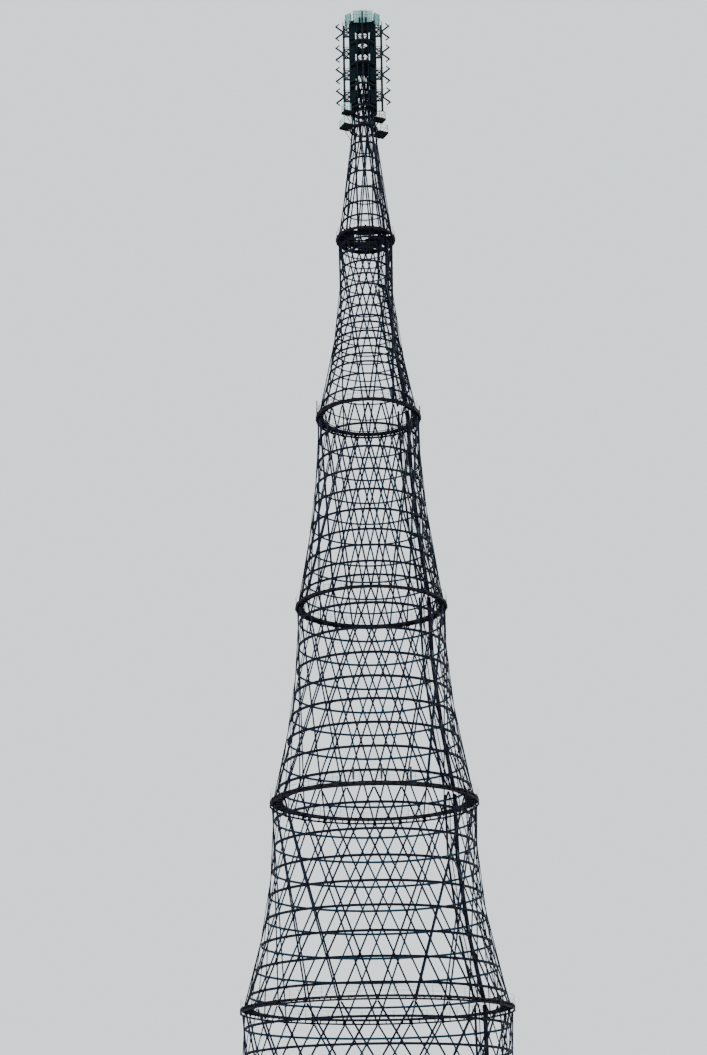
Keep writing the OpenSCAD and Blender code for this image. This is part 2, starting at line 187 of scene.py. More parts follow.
def addRivet(radius, height, at, turn=(0, 0, 0)):
    # Low dome: a cylinder whose outer end is drawn in
    piece = addRound(radius, height, 6)
    taper(piece, (0.5, 0.5, 1))
    piece.rotation_euler = [math.radians(t) for t in turn]
    piece.location = [c * mm for c in at]
    return settle(piece)


def pick(piece, kind, wanted):
    # Edit mode, with only the wanted faces or edges selected
    onlySelected(piece)
    bpy.ops.object.mode_set(mode="EDIT")
    bpy.ops.mesh.select_mode(type=kind)
    bpy.ops.mesh.select_all(action="DESELECT")
    mesh = bmesh.from_edit_mesh(piece.data)
    for part in mesh.faces if kind == "FACE" else mesh.edges:
        part.select_set(bool(wanted(part)))
    bmesh.update_edit_mesh(piece.data)


def pickFaces(piece, wanted=lambda f: True):
    pick(piece, "FACE", wanted)


def pickEdges(piece, wanted):
    pick(piece, "EDGE", wanted)


def span(edge, axis=2):
    return abs(edge.verts[0].co[axis] - edge.verts[1].co[axis])


def leaveEdit():
    bpy.ops.object.mode_set(mode="OBJECT")


def closeEdit():
    # Normals outwards on the whole mesh, then back to object mode
    bpy.ops.mesh.select_all(action="SELECT")
    bpy.ops.mesh.normals_make_consistent(inside=False)
    leaveEdit()


def extrude(*move):
    bpy.ops.mesh.extrude_region_move(TRANSFORM_OT_translate={"value": [c * mm for c in move]})


def taper(piece, scale, wanted=lambda f: f.normal.z > 0.9):
    # Draws in one end, as a rule the top
    pickFaces(piece, wanted)
    bpy.ops.transform.resize(value=scale)
    leaveEdit()


def chamfer(piece, width, wanted=lambda e: True, segments=1):
    pickEdges(piece, wanted)
    bpy.ops.mesh.bevel(offset=width * mm, segments=segments, affect="EDGES")
    leaveEdit()
    return piece


def joinPieces(name, pieces):
    clearSelection()
    for piece in pieces:
        piece.select_set(True)
    bpy.context.view_layer.objects.active = pieces[0]
    if len(pieces) > 1:
        bpy.ops.object.join()
    joined = bpy.context.object
    joined.name = name
    joined.data.name = name
    return joined


def sweepRing():
    # Turns the flat cross-section that is being edited into a ring round the tower's axis
    bpy.ops.mesh.select_all(action="SELECT")
    bpy.ops.mesh.dissolve_faces()
    bpy.ops.mesh.delete(type="ONLY_FACE")
    bpy.ops.mesh.select_all(action="SELECT")
    bpy.ops.mesh.spin(steps=96, angle=2 * math.pi, center=(0, 0, 0), axis=(0, 0, 1))
    bpy.ops.mesh.select_all(action="SELECT")
    bpy.ops.mesh.remove_doubles(threshold=0.00002)
    closeEdit()
    return bpy.context.object


def rolledRing(outer, low, high, sheet, flanges=(), leg=0):
    # Upright web with level flanges that run inwards; each flange is (underside, top)
    clearSelection()
    bpy.ops.mesh.primitive_plane_add(
        size=1, location=(0, -(outer - sheet / 2) * mm, (low + high) / 2 * mm),
        rotation=(0, math.radians(90), 0))
    piece = bpy.context.object
    piece.scale = ((high - low) * mm, sheet * mm, 1)
    settle(piece)
    face = -(outer - sheet) * mm
    for bottom, top in flanges:
        pickFaces(piece)
        bpy.ops.mesh.bisect(plane_co=(0, 0, (top if bottom == low else bottom) * mm), plane_no=(0, 0, 1))
        pickEdges(piece, lambda e: all(
            abs(v.co.y - face) < 1e-6 and bottom * mm - 1e-6 < v.co.z < top * mm + 1e-6 for v in e.verts))
        extrude(0, leg - sheet, 0)
    pickFaces(piece)
    return sweepRing()


def angleRing(outer, low, high, leg, sheet):
    return rolledRing(outer, low, high, sheet, [(low, low + sheet)], leg)


def channelRing(outer, low, high, leg, sheet):
    return rolledRing(outer, low, high, sheet, [(low, low + sheet), (high - sheet, high)], leg)


def roundRing(radius, z, thick):
    clearSelection()
    bpy.ops.mesh.primitive_torus_add(
        major_segments=96, minor_segments=6, major_radius=radius * mm, minor_radius=thick / 2 * mm,
        location=(0, 0, z * mm))
    return settle(bpy.context.object)


def readMesh(items, key, width=1, kind=np.int64):
    values = np.empty(len(items) * width, kind)
    items.foreach_get(key, values)
    return values


def stamp(name, source, places):
    # One mesh that holds a copy of the source's mesh at every place; the source itself goes
    mesh = source.data
    count, vertexCount, loopCount = len(places), len(mesh.vertices), len(mesh.loops)
    points = readMesh(mesh.vertices, "co", 3, float).reshape(-1, 3)
    corners, starts = readMesh(mesh.loops, "vertex_index"), readMesh(mesh.polygons, "loop_start")
    totals = readMesh(mesh.polygons, "loop_total")
    moves = np.array([[list(row) for row in place] for place in places])
    moved = np.einsum("nij,vj->nvi", moves[:, :3, :3], points) + moves[:, None, :3, 3]
    steps = np.arange(count)[:, None]
    made = bpy.data.meshes.new(name)
    made.vertices.add(count * vertexCount)
    made.vertices.foreach_set("co", moved.ravel())
    made.loops.add(count * loopCount)
    made.loops.foreach_set("vertex_index", (corners + steps * vertexCount).ravel())
    made.polygons.add(count * len(totals))
    made.polygons.foreach_set("loop_start", (starts + steps * loopCount).ravel())
    made.polygons.foreach_set("loop_total", np.tile(totals, count))
    made.update(calc_edges=True)
    made.validate()
    piece = bpy.data.objects.new(name, made)
    bpy.context.scene.collection.objects.link(piece)
    bpy.data.objects.remove(source)
    return piece


def finishPiece(piece, slot, replaced=()):
    piece.data.materials.clear()
    piece.data.materials.append(finishes[slot])
    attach(piece, "root")
    if replaced:
        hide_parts(*replaced)
    return piece


# Materials

def linear(code):
    channels = [int(code[i:i + 2], 16) / 255 for i in (1, 3, 5)]
    return [c / 12.92 if c <= 0.04045 else ((c + 0.055) / 1.055) ** 2.4 for c in channels] + [1]


def addNode(tree, kind, values=None, links=None, **settings):
    # A link starts at a socket, or at a node's first output that is in use
    made = tree.nodes.new("ShaderNode" + kind)
    for key, value in settings.items():
        setattr(made, key, value)
    for key, value in (values or {}).items():
        made.inputs[key].default_value = value
    for key, source in (links or {}).items():
        if isinstance(source, bpy.types.Node):
            source = next(output for output in source.outputs if output.enabled)
        tree.links.new(source, made.inputs[key])
    return made


def emptyMaterial(name):
    made = bpy.data.materials.new(name)
    made.use_nodes = True
    made.node_tree.nodes.clear()
    return made, partial(addNode, made.node_tree)


def agedPaint(name, paint, faded, rust, patch=60, rustShare=0.12, rough=(0.5, 0.8), coat=0.5, inner=None):
    # Brushed oil paint on rolled steel: broad faded clouds, rain streaks that run down,
    # small rust blooms where the film has broken, and a faint brushed skin. The old film has
    # chalked, so it mirrors less than fresh paint. Faces that look at the tower's axis take
    # the inner colour where one is given: a lighter, bluer colour that is painted sky light on those faces.
    made, add = emptyMaterial(name)
    place = add("TexCoord").outputs["Object"]
    clouds = add("TexNoise", {"Scale": 1 / (patch * mm), "Detail": 6, "Roughness": 0.6}, {"Vector": place})
    tall = add("Mapping", {"Scale": (1, 1, 0.12)}, {"Vector": place})
    streaks = add("TexNoise", {"Scale": 1 / (14 * mm), "Detail": 4, "Roughness": 0.55}, {"Vector": tall})
    blooms = add("TexNoise", {"Scale": 1 / (22 * mm), "Detail": 9, "Roughness": 0.72}, {"Vector": place})
    cloudMask = add("MapRange", {"From Min": 0.35, "From Max": 0.7}, {"Value": clouds})
    base = add("Mix", {"A": linear(paint), "B": linear(faded)}, {"Factor": cloudMask}, data_type="RGBA")
    # Painted light: the inner colour, lighter and bluer than the paint, is painted sky light on the faces
    # that look at the tower's axis
    if inner:
        flat = add("VectorMath", {1: (-1, -1, 0)}, {0: place}, operation="MULTIPLY")
        inwards = add("VectorMath", None, {0: flat}, operation="NORMALIZE")
        normal = add("NewGeometry").outputs["Normal"]
        facing = add("VectorMath", None, {0: inwards, 1: normal}, operation="DOT_PRODUCT")
        paintedSkyLightMask = add("MapRange", {"From Min": 0.15, "From Max": 0.6}, {"Value": facing})
        base = add("Mix", {"B": linear(inner)}, {"Factor": paintedSkyLightMask, "A": base}, data_type="RGBA")
    streakMask = add("MapRange", {"From Min": 0.52, "From Max": 0.75, "To Min": 0, "To Max": 0.55},
                     {"Value": streaks})
    washed = add("Mix", {"B": linear(faded)}, {"Factor": streakMask, "A": base}, data_type="RGBA")
    edge = 0.66 - rustShare
    rustMask = add("MapRange", {"From Min": edge, "From Max": edge + 0.07}, {"Value": blooms})
    colour = add("Mix", {"B": linear(rust)}, {"Factor": rustMask, "A": washed}, data_type="RGBA")
    sheen = add("MapRange", {"From Min": 0.3, "From Max": 0.7, "To Min": rough[0], "To Max": rough[1]},
                {"Value": clouds})
    dull = add("Math", {1: 0.25}, {0: rustMask}, operation="MULTIPLY")
    roughness = add("Math", None, {0: sheen, 1: dull}, operation="ADD", use_clamp=True)
    skin = add("TexNoise", {"Scale": 1 / (3 * mm), "Detail": 3}, {"Vector": place})
    relief = add("Math", None, {0: skin, 1: rustMask}, operation="ADD")
    bump = add("Bump", {"Strength": 0.35, "Distance": coat * mm}, {"Height": relief})
    shader = add("BsdfPrincipled", {"Metallic": 0, "IOR": 1.5, "Specular IOR Level": 0.07},
                 {"Base Color": colour, "Roughness": roughness, "Normal": bump})
    add("OutputMaterial", None, {"Surface": shader})
    return made


def castConcrete(name):
    # Cast concrete: pale cement, sand speckle, darker towards the bottom
    made, add = emptyMaterial(name)
    place = add("TexCoord").outputs["Object"]
    clouds = add("TexNoise", {"Scale": 1 / (90 * mm), "Detail": 7, "Roughness": 0.6}, {"Vector": place})
    cloudMask = add("MapRange", {"From Min": 0.3, "From Max": 0.75}, {"Value": clouds})
    tone = add("Mix", {"A": linear("#847f75"), "B": linear("#b3aea2")}, {"Factor": cloudMask},
               data_type="RGBA")
    sand = add("TexVoronoi", {"Scale": 1 / (4 * mm)}, {"Vector": place})
    speck = add("MapRange", {"From Min": 0, "From Max": 0.35, "To Min": 0.25, "To Max": 0}, {"Value": sand})
    speckled = add("Mix", {"B": linear("#5e5a52")}, {"Factor": speck, "A": tone}, data_type="RGBA")
    height = add("SeparateXYZ", None, {"Vector": place}).outputs["Z"]
    # Darker towards the bottom of the blocks, over the lowest 30 mm above the floor
    darkerLowMask = add("MapRange", {"From Min": 0, "From Max": 0.03, "To Min": 0.55, "To Max": 0}, {"Value": height})
    darkenedLow = add("Mix", {"B": linear("#56524a")}, {"Factor": darkerLowMask, "A": speckled}, data_type="RGBA")
    pores = add("TexNoise", {"Scale": 1 / (6 * mm), "Detail": 8, "Roughness": 0.7}, {"Vector": place})
    bump = add("Bump", {"Strength": 0.6, "Distance": 1.5 * mm}, {"Height": pores})
    shader = add("BsdfPrincipled", {"Roughness": 0.9, "IOR": 1.5}, {"Base Color": darkenedLow, "Normal": bump})
    add("OutputMaterial", None, {"Surface": shader})
    return made


def cableRubber(name):
    # Black polyethylene cable sheath: matt, dusty in patches, slightly greyed by the sun
    made, add = emptyMaterial(name)
    place = add("TexCoord").outputs["Object"]
    dust = add("TexNoise", {"Scale": 1 / (35 * mm), "Detail": 6, "Roughness": 0.65}, {"Vector": place})
    dustMask = add("MapRange", {"From Min": 0.4, "From Max": 0.75}, {"Value": dust})
    tone = add("Mix", {"A": linear("#0e0f11"), "B": linear("#24262a")}, {"Factor": dustMask},
               data_type="RGBA")
    gloss = add("MapRange", {"To Min": 0.5, "To Max": 0.8}, {"Value": dust})
    skin = add("TexNoise", {"Scale": 1 / (2 * mm), "Detail": 2}, {"Vector": place})
    bump = add("Bump", {"Strength": 0.2, "Distance": 0.3 * mm}, {"Height": skin})
    shader = add("BsdfPrincipled", {"IOR": 1.5}, {"Base Color": tone, "Roughness": gloss, "Normal": bump})
    add("OutputMaterial", None, {"Surface": shader})
    return made


# slot: name, paint, faded paint, rust and what differs from the usual coat; an inner colour is painted sky
# light on the faces that look at the axis
paints = {
    "lattice_paint": ("latticePaint", "#070816", "#10152a", "#211615", {"patch": 70, "inner": "#16384a"}),
    "hoop_paint": ("hoopPaint", "#070b17", "#0e1a26", "#1f1715", {"patch": 50, "inner": "#173c50"}),
    "gallery_steel": ("galleryPaint", "#090a13", "#151722", "#261a17", {"rustShare": 0.14}),
    "deck_steel": ("deckPaint", "#080e12", "#121c20", "#231a16",
                   {"patch": 40, "rustShare": 0.15, "rough": (0.6, 0.85)}),
    "ladder_steel": ("ladderPaint", "#080816", "#12132a", "#231716", {"patch": 40}),
    "rail_steel": ("railPaint", "#5f938f", "#8cb9b3", "#5c5244", {"patch": 30, "rustShare": 0.05}),
    "cage_steel": ("cagePaint", "#06131a", "#10262c", "#1c1816", {"patch": 40, "inner": "#1b3b3c"}),
    "antenna_steel": ("antennaPaint", "#06121c", "#0c222f", "#1b1c1e",
                      {"patch": 30, "rustShare": 0.06, "inner": "#123446"}),
    "cabinet_paint": ("cabinetPaint", "#1f232b", "#31363f", "#33261f", {"patch": 50, "rustShare": 0.06}),
    "radome": ("radomePaint", "#2c3136", "#3f454a", "#292b2d",
               {"patch": 45, "rustShare": 0.02, "rough": (0.5, 0.7)}),
    "shoe_iron": ("shoeIron", "#232326", "#353433", "#402c1e",
                  {"patch": 25, "rustShare": 0.2, "rough": (0.6, 0.85), "coat": 1}),
}
finishes = {slot: agedPaint(*colours, **coat) for slot, (*colours, coat) in paints.items()}
finishes["cable_sheath"] = cableRubber("cableSheath")
finishes["ring_concrete"] = castConcrete("ringConcrete")
slotOf = {s["node"]: s["material_slot"] for s in frame["record"]["subparts"]}
for nodeName, node in nodes.items():
    node.data.materials.clear()
    node.data.materials.append(finishes[slotOf[nodeName]])
print("materials ready")


# Lattice bars

bars = {"flangeShare": 0.5, "sheet": 2.0, "battenStep": 90, "battenHeight": 26, "battenShare": 0.94,
        "battenSheet": 1.2, "familyGap": 0.4, "lip": [0.96, 0.96, 0.96, 1.06, 1.1, 1.1]}


def channelPair(width, depth, length):
    # Web of one channel as a plane, flanges extruded from its long edges, then thickness and its twin
    clearSelection()
    bpy.ops.mesh.primitive_plane_add(size=1, rotation=(math.radians(90), 0, 0))
    piece = bpy.context.object
    piece.scale = (depth * mm, length * mm, 1)
    settle(piece)
    piece.location = (0, width / 2 * mm, length / 2 * mm)
    settle(piece)
    pickEdges(piece, lambda e: span(e, 0) < 1e-6)
    extrude(0, -width * bars["flangeShare"], 0)
    closeEdit()
    thick = piece.modifiers.new("sheet", "SOLIDIFY")
    thick.thickness = bars["sheet"] * mm
    thick.offset = -1
    bpy.ops.object.modifier_apply(modifier="sheet")
    twin = piece.modifiers.new("twin", "MIRROR")
    twin.use_axis = (False, True, False)
    bpy.ops.object.modifier_apply(modifier="twin")
    pickFaces(piece)
    closeEdit()
    return piece


def buildBars(k):
    width = barWidth[k] * bars["lip"][k]
    depth = width / 2 - bars["familyGap"]
    low, along, radial, across = barAxes(k, 0, 1)
    length = (cutHigh[k] - cutLow[k]) / along.z
    sheet = bars["battenSheet"]
    pair = channelPair(width, depth - sheet, length)
    pair.location.x = -sheet / 2 * mm
    settle(pair)
    batten = addBlock((sheet, width * bars["battenShare"], bars["battenHeight"]))
    count = round(length / bars["battenStep"])
    face = (depth - sheet) / 2 * mm
    battens = stamp("battens", batten, [
        Matrix.Translation((face, 0, (i + 0.5) * length / count * mm)) for i in range(count)])
    step = 360 / tower["barCount"][k]
    offset = depth / 2 + bars["familyGap"] / 2
    places = []
    for n in range(tower["barCount"][k]):
        azimuth = tower["phase"][k] + n * step
        places.append(barMatrix(k, azimuth, 1, cutLow[k], offset))
        places.append(barMatrix(k, azimuth, -1, cutLow[k], -offset) @ halfTurn)
    made = stamp(f"section_{k + 1}_bars", joinPieces("bar", [pair, battens]), places)
    return finishPiece(made, "lattice_paint", [f"section_{k + 1}_lattice"])


for k in range(6):
    buildBars(k)
print("lattice bars ready")


# Riveted plates where the bars cross

crossing = {"widthShare": 1.2, "heightShare": 1.5, "sheet": 1.6, "cut": 0.24, "rivet": 1.7, "rivetHigh": 1.2}


def wallSlope(k, z):
    return math.atan2(lineRadius(k, z + 5) - lineRadius(k, z - 5), 10)


def buildCrossings(k):
    width, height = barWidth[k] * crossing["widthShare"], barWidth[k] * crossing["heightShare"]
    plate = addBlock((crossing["sheet"], width, height))
    chamfer(plate, width * crossing["cut"], lambda e: span(e, 0) > 1e-5)
    rivets = [addRivet(crossing["rivet"], crossing["rivetHigh"],
                       (crossing["sheet"] / 2, y * width * 0.24, z * height * 0.27), (0, 90, 0))
              for y in (-1, 1) for z in (-1, 1)]
    step = 360 / tower["barCount"][k]
    outwards = Matrix.Translation((barWidth[k] / 2 * mm, 0, 0))
    places = []
    for j in range(1, round(2 * tower["twist"][k] / step)):
        z = heightAt(k, shareAtSwing(k, j * step / 2))
        lean = Matrix.Rotation(wallSlope(k, z), 4, "Y")
        for n in range(tower["barCount"][k]):
            middle = around(tower["phase"][k] + (n + j / 2) * step, lineRadius(k, z), z) @ lean
            places += [middle @ outwards, middle @ halfTurn @ outwards]
    made = stamp(f"section_{k + 1}_crossing_plates", joinPieces("crossingPlate", [plate] + rivets), places)
    return finishPiece(made, "lattice_paint")


for k in range(6):
    buildCrossings(k)
print("crossing plates ready")


# Hoops: rolled angles, clips at every bar and splices between the lengths

hoopDetail = {
    "sheet": 4, "leg": 22, "proud": [7, 7, 7, 4, 2.5, 2.5], "spliceLength": 60, "splices": [8, 8, 8, 8, 4, 4],
    "clip": (5, 13),
}


def hoopRadius(k, z):
    reach = tower["hoopHeight"][k] / 2
    return min(innerRadius(k, z + side * reach) for side in (-1, 0, 1)) - tower["seatGap"]


def buildHoops(k):
    rings, splices, clips = [], [], []
    step = 360 / tower["barCount"][k]
    sheet, height = hoopDetail["sheet"], tower["hoopHeight"][k]
    reach, count = height / 2 + hoopDetail["proud"][k], hoopDetail["splices"][k]
    for share in hoopShares[k]:
        z = heightAt(k, share)
        outer, turn = hoopRadius(k, z), swing(k, share)
        rings.append(angleRing(outer, z - reach, z + reach, hoopDetail["leg"], sheet))
        splices += ringOf(count, 180 / count, outer - sheet, z)
        clips += [around(tower["phase"][k] + n * step + side * turn, outer, z - reach - 1)
                  for n in range(tower["barCount"][k]) for side in (-1, 1)]
    splice = addBlock((sheet, hoopDetail["spliceLength"], height * 0.7), (-sheet, 0, 0))
    bolts = [addRivet(1.4, 1.4, (-sheet * 1.5 - 0.5, y, 0), (0, -90, 0)) for y in (-22, -9, 9, 22)]
    splice = joinPieces("splice", [splice] + bolts)
    deep, wide = hoopDetail["clip"]
    clip = joinPieces("clip", [
        addBlock((deep, wide, 3), (-deep / 2 + 1, 0, 0)), addBlock((2.2, wide, 12), (0.6, 0, -5.5)),
        addRivet(1.5, 1.4, (-1.1, 0, -6), (0, -90, 0))])
    made = joinPieces(f"section_{k + 1}_rings", rings + [
        stamp("splices", splice, splices), stamp("clips", clip, clips)])
    return finishPiece(made, "hoop_paint", [f"section_{k + 1}_hoops"])


for k in range(6):
    buildHoops(k)
print("hoops ready")


# Ring galleries

gallery = {
    "edgeHigh": 12, "edgeLeg": 12, "sheet": 4, "plate": 5, "plateShare": [0, 1, 1, 0.78, 1], "kerbRise": 24,
    "floorTop": [0, 50, 50, 20, 42], "beamMiddle": [0, 3, 3, 0, 8], "beamHigh": 20, "beamLeg": 14,
    "hanger": (9, 12), "hangers": 48, "bearer": (7, 12), "seams": 72, "gusset": (5, 50), "gussets": 24,
    "railHeight": 104, "railThick": 2.6, "postThick": 3.2, "posts": 24,
}


def railRing(radius, z):
    # Round handrail with a knee rail and posts
    top, thick, count = gallery["railHeight"], gallery["postThick"], gallery["posts"]
    rings = [roundRing(radius, z + h, gallery["railThick"]) for h in (top, top * 0.52)]
    post = joinPieces("post", [
        addBlock((thick, thick, top), (0, 0, top / 2)), addBlock((12, 12, 2.4), (0, 0, 1.2))])
    return rings + [stamp("posts", post, ringOf(count, 180 / count, radius, z))]


def buildGusset(depth, wide, high, rows):
    # Plate that narrows upwards, with rivets on its outer face
    plate = addBlock((depth, wide, high), (0, 0, 6))
    taper(plate, (1, 0.55, 1))
    rivets = [addRivet(2, 1.6, (depth / 2 + 0.3, share * wide, z), (0, 90, 0))
              for z, shares in rows for share in shares]
    return joinPieces("gusset", [plate] + rivets)


def buildGallery(j):
    level, sheet, plate, edge = levels[j], gallery["sheet"], gallery["plate"], gallery["edgeHigh"]
    outer = tower["jointRadius"][j] + tower["galleryOverhang"]
    inner = outer / math.cos(math.radians(7.5)) - tower["galleryWidth"][j]
    floorTop = level + gallery["floorTop"][j]
    plateEdge = outer - (outer - inner) * gallery["plateShare"][j]
    beamLow = level + gallery["beamMiddle"][j] - gallery["beamHigh"] / 2
    middle, reach, between = (outer + plateEdge) / 2, outer - plateEdge, (floorTop + beamLow) / 2
    parts = [
        angleRing(outer, floorTop - edge, floorTop, gallery["edgeLeg"], sheet),
        channelRing(outer, beamLow, beamLow + gallery["beamHigh"], gallery["beamLeg"], sheet),
        rolledRing(outer - sheet, floorTop - plate, floorTop, reach - sheet),
        rolledRing(plateEdge + sheet, floorTop - edge, floorTop + 4, sheet),
    ]
    # seams between the floor plates, bearers under them, hangers down to the ring beam
    seam = addBlock((reach - 8, 3, 2), (middle, 0, floorTop - plate - 0.6))
    deep, wide = gallery["hanger"]
    hanger = joinPieces("hanger", [
        addBlock((deep, wide, floorTop - beamLow - 8), (outer - deep / 2 - 1, 0, between - 1)),
        addBlock((reach - 6, *gallery["bearer"]), (middle, 0, floorTop - plate - gallery["bearer"][1] / 2)),
    ])
    shift = 180 / gallery["hangers"]
    parts += [stamp("seams", seam, ringOf(gallery["seams"])),
              stamp("hangers", hanger, ringOf(gallery["hangers"], shift))]
    if j == 4:
        # inner kerb of the narrow gallery, raised on stays
        rise = gallery["kerbRise"]
        stay = addBlock((5, 6, rise), (inner + 4, 0, floorTop + rise / 2))
        parts += [rolledRing(inner + 7, floorTop + rise - 9, floorTop + rise, 7),
                  stamp("stays", stay, ringOf(gallery["gussets"], shift))]
    tall = floorTop - beamLow + 10
    gusset = buildGusset(*gallery["gusset"], tall, [
        (tall * -0.3, (-0.36, -0.12, 0.12, 0.36)), (tall * -0.05, (-0.32, 0, 0.32)),
        (tall * 0.2, (-0.2, 0.2)), (tall * 0.42, (-0.1, 0.1))])
    places = ringOf(gallery["gussets"], 0, outer + gallery["gusset"][0] / 2 - 1, between - 6)
    parts += [stamp("gussets", gusset, places),
              *railRing(outer - 6, floorTop), *railRing(plateEdge + 4, floorTop)]
    return finishPiece(joinPieces(f"ring_gallery_{j}", parts), "gallery_steel", [f"gallery_{j}"])


for j in range(1, 5):
    buildGallery(j)
print("galleries ready")


# Floor of the fifth gallery: plates with the openings that the photograph shows, on rolled beams

topFloor = {
    "radius": 383, "sheet": 6, "openings": [
        (-55, -98, 175, 164, 0), (-70, 30, 128, 90, 0), (92, -146, 133, 92, 0), (208, -144, 29, 127, 0),
        (292, -130, 60, 90, 0), (292, 0, 22, 60, 0), (-167, -295, 150, 52, 12),
        (-125, 262, 240, 96, -4), (100, 268, 146, 48, 6), (236, 198, 80, 70, 40),
    ],
    "beam": (12, 26), "beamPlaces": (-150, 52), "ringBeam": 387, "innerBeam": 250, "dashBar": 9,
}


def buildTopFloor():
    level = levels[5]
    top, bottom, ring = level + halfDeck, level - halfDeck, topFloor["ringBeam"]
    plate = addRound(topFloor["radius"], topFloor["sheet"], 96, (0, 0, top - topFloor["sheet"] / 2))
    for x, y, wide, deep, turn in topFloor["openings"]:
        cutter = addBlock((wide, deep, 60))
        cutter.rotation_euler = (0, 0, math.radians(turn))
        cutter.location = (x * mm, y * mm, top * mm)
        settle(cutter)
        cut = plate.modifiers.new("opening", "BOOLEAN")
        cut.object = cutter
        cut.operation = "DIFFERENCE"
        cut.solver = "EXACT"
        onlySelected(plate)
        bpy.ops.object.modifier_apply(modifier="opening")
        bpy.data.objects.remove(cutter)
    pickFaces(plate)
    closeEdit()
    parts = [plate, channelRing(ring, bottom, top, 20, 4),
             channelRing(topFloor["innerBeam"], bottom, top - 6, 14, 4)]
    # two main beams each way, their ends on the ring beam
    wide, high = topFloor["beam"]
    for offset in topFloor["beamPlaces"]:
        half = math.sqrt((ring - 9) ** 2 - offset ** 2)
        parts.append(addBlock((wide, 2 * half, high), (offset, 0, bottom + high / 2 + 1)))
        parts.append(addBlock((2 * half, wide, high - 6), (0, offset - 40, bottom + high / 2 + 1)))
    joist = addBlock((130, 7, 18), (315, 0, top - topFloor["sheet"] - 9))
    parts.append(stamp("joists", joist, ringOf(24)))
    # bars across the long opening make it read as dashes from below
    parts += [addBlock((topFloor["dashBar"], 92, 8), (x, -146, top - 4)) for x in (58, 92, 126)]
    gussets = buildGusset(4, 40, 44, [(-8, (-0.3, 0, 0.3)), (6, (-0.25, 0.25))])
    parts += [stamp("gussets", gussets, ringOf(24, 0, ring + 1, level)), *railRing(ring - 9, top)]
    return finishPiece(joinPieces("top_gallery_floor", parts), "gallery_steel", ["gallery_5"])


buildTopFloor()
print("top floor ready")


# Ladder: flights between the landings, with a safety cage, channels and stand-off brackets

ladder = {
    "azimuth": 50, "width": 100, "topShare": 0.6, "gap": 20, "railDepth": 16, "restThickness": 7,
    "cageStep": 160, "cageReach": 74, "strap": (3.2, 1.4), "stringer": (14, 26), "tray": (26, 16),
    "slimRail": (5, 10), "rung": 2.8, "rungStep": 30, "bracket": 9, "firstHoop": 250,
}
restHoops = [[2, 5], [2, 5], [2, 5], [3, 6], [4, 11], [3, 6]]


def chordRadius(radius, width):
    return math.sqrt(radius ** 2 - width ** 2 / 4)


def runLevels(k):
    rests = [heightAt(k, hoopShares[k][i]) + tower["hoopHeight"][k] / 2 for i in restHoops[k]]
    return [50 if k == 0 else cutLow[k]] + rests + [cutHigh[k]]


def runRadius(k, z, width):
    return chordRadius(innerRadius(k, max(z, levels[k])) - tower["hoopDepth"] - ladder["gap"], width)


def ladderWidth(k):
    return ladder["width"] * (1 if k < 5 else ladder["topShare"])


def unitStrut(thick, sides=4):
    # A rod one metre long along Z, to be stretched between two points by strutMatrix
    clearSelection()
    bpy.ops.mesh.primitive_cylinder_add(vertices=sides, radius=thick / 2 * mm, depth=1, location=(0, 0, 0.5))
    piece = bpy.context.object
    piece.rotation_euler = (0, 0, math.pi / sides)
    return settle(piece)


def unitBar(wide, deep):
    # The same with a flat section; its wide side is level
    return addBlock((deep, wide, 1000), (0, 0, 500))


def onRun(azimuth, radius, across, z):
    # A point in mm: distance from the axis, distance to the right of the azimuth line, and height
    return around(azimuth, radius, z) @ Vector((0, across * mm, 0)) / mm


def strutMatrix(a, b):
    # From a to b in mm, with the strut's Y axis level
    a, b = Vector(a) * mm, Vector(b) * mm
    along = (b - a).normalized()
    level = Vector((0, 0, 1)).cross(along)
    level = level.normalized() if level.length > 1e-6 else Vector((0, 1, 0))
    turned = Matrix((level.cross(along), level, along)).transposed().to_4x4()
    return Matrix.Translation(a) @ turned @ Matrix.Diagonal((1, 1, (b - a).length, 1))


def runStrut(azimuth, a, b):
    # The same on a run; a and b are distance from the axis, distance to the right and height
    return strutMatrix(onRun(azimuth, *a), onRun(azimuth, *b))


def runAt(k, level, width):
    # Distance of a flat run from the axis at a height, between the two ends of its flight
    z = runLevels(k)
    i = sum(level > h for h in z[1:3])
    share = (level - z[i]) / (z[i + 1] - z[i])
    return runRadius(k, z[i], width) * (1 - share) + runRadius(k, z[i + 1], width) * share


def cagePoint(k, z, share):
    # A point of the safety hoop: share runs from one rail (0) round to the other (1)
    width = ladderWidth(k)
    t = math.pi * share
    out = runAt(k, z, width) - ladder["railDepth"] - ladder["cageReach"] * width / 100 * math.sin(t) ** 0.8
    return onRun(ladder["azimuth"], out, width / 2 * (1.16 if 0.1 < share < 0.9 else 1) * math.cos(t), z)


def buildLadderFlights(k):
    # Flat rails with round rungs let through, one flight between two landings
    z, width = runLevels(k), ladderWidth(k)
    wide, deep = ladder["slimRail"]
    rails, rungs = [], []
    for i in range(3):
        low, high = z[i] + (ladder["restThickness"] if i else 0), z[i + 1]
        left, right = ([
            onRun(ladder["azimuth"], runRadius(k, h, width) - ladder["railDepth"] / 2,
                  side * (width - wide) / 2, h) for h in (low, high)] for side in (-1, 1))
        rails += [strutMatrix(*left), strutMatrix(*right)]
        count = int((high - low) / ladder["rungStep"])
        rungs += [strutMatrix(left[0].lerp(left[1], n / count), right[0].lerp(right[1], n / count))
                  for n in range(1, count)]
    parts = [stamp("rails", unitBar(wide, deep), rails), stamp("rungs", unitStrut(ladder["rung"], 6), rungs)]
    return finishPiece(joinPieces(f"ladder_flights_{k + 1}", parts), "ladder_steel", [f"ladder_{k + 1}"])


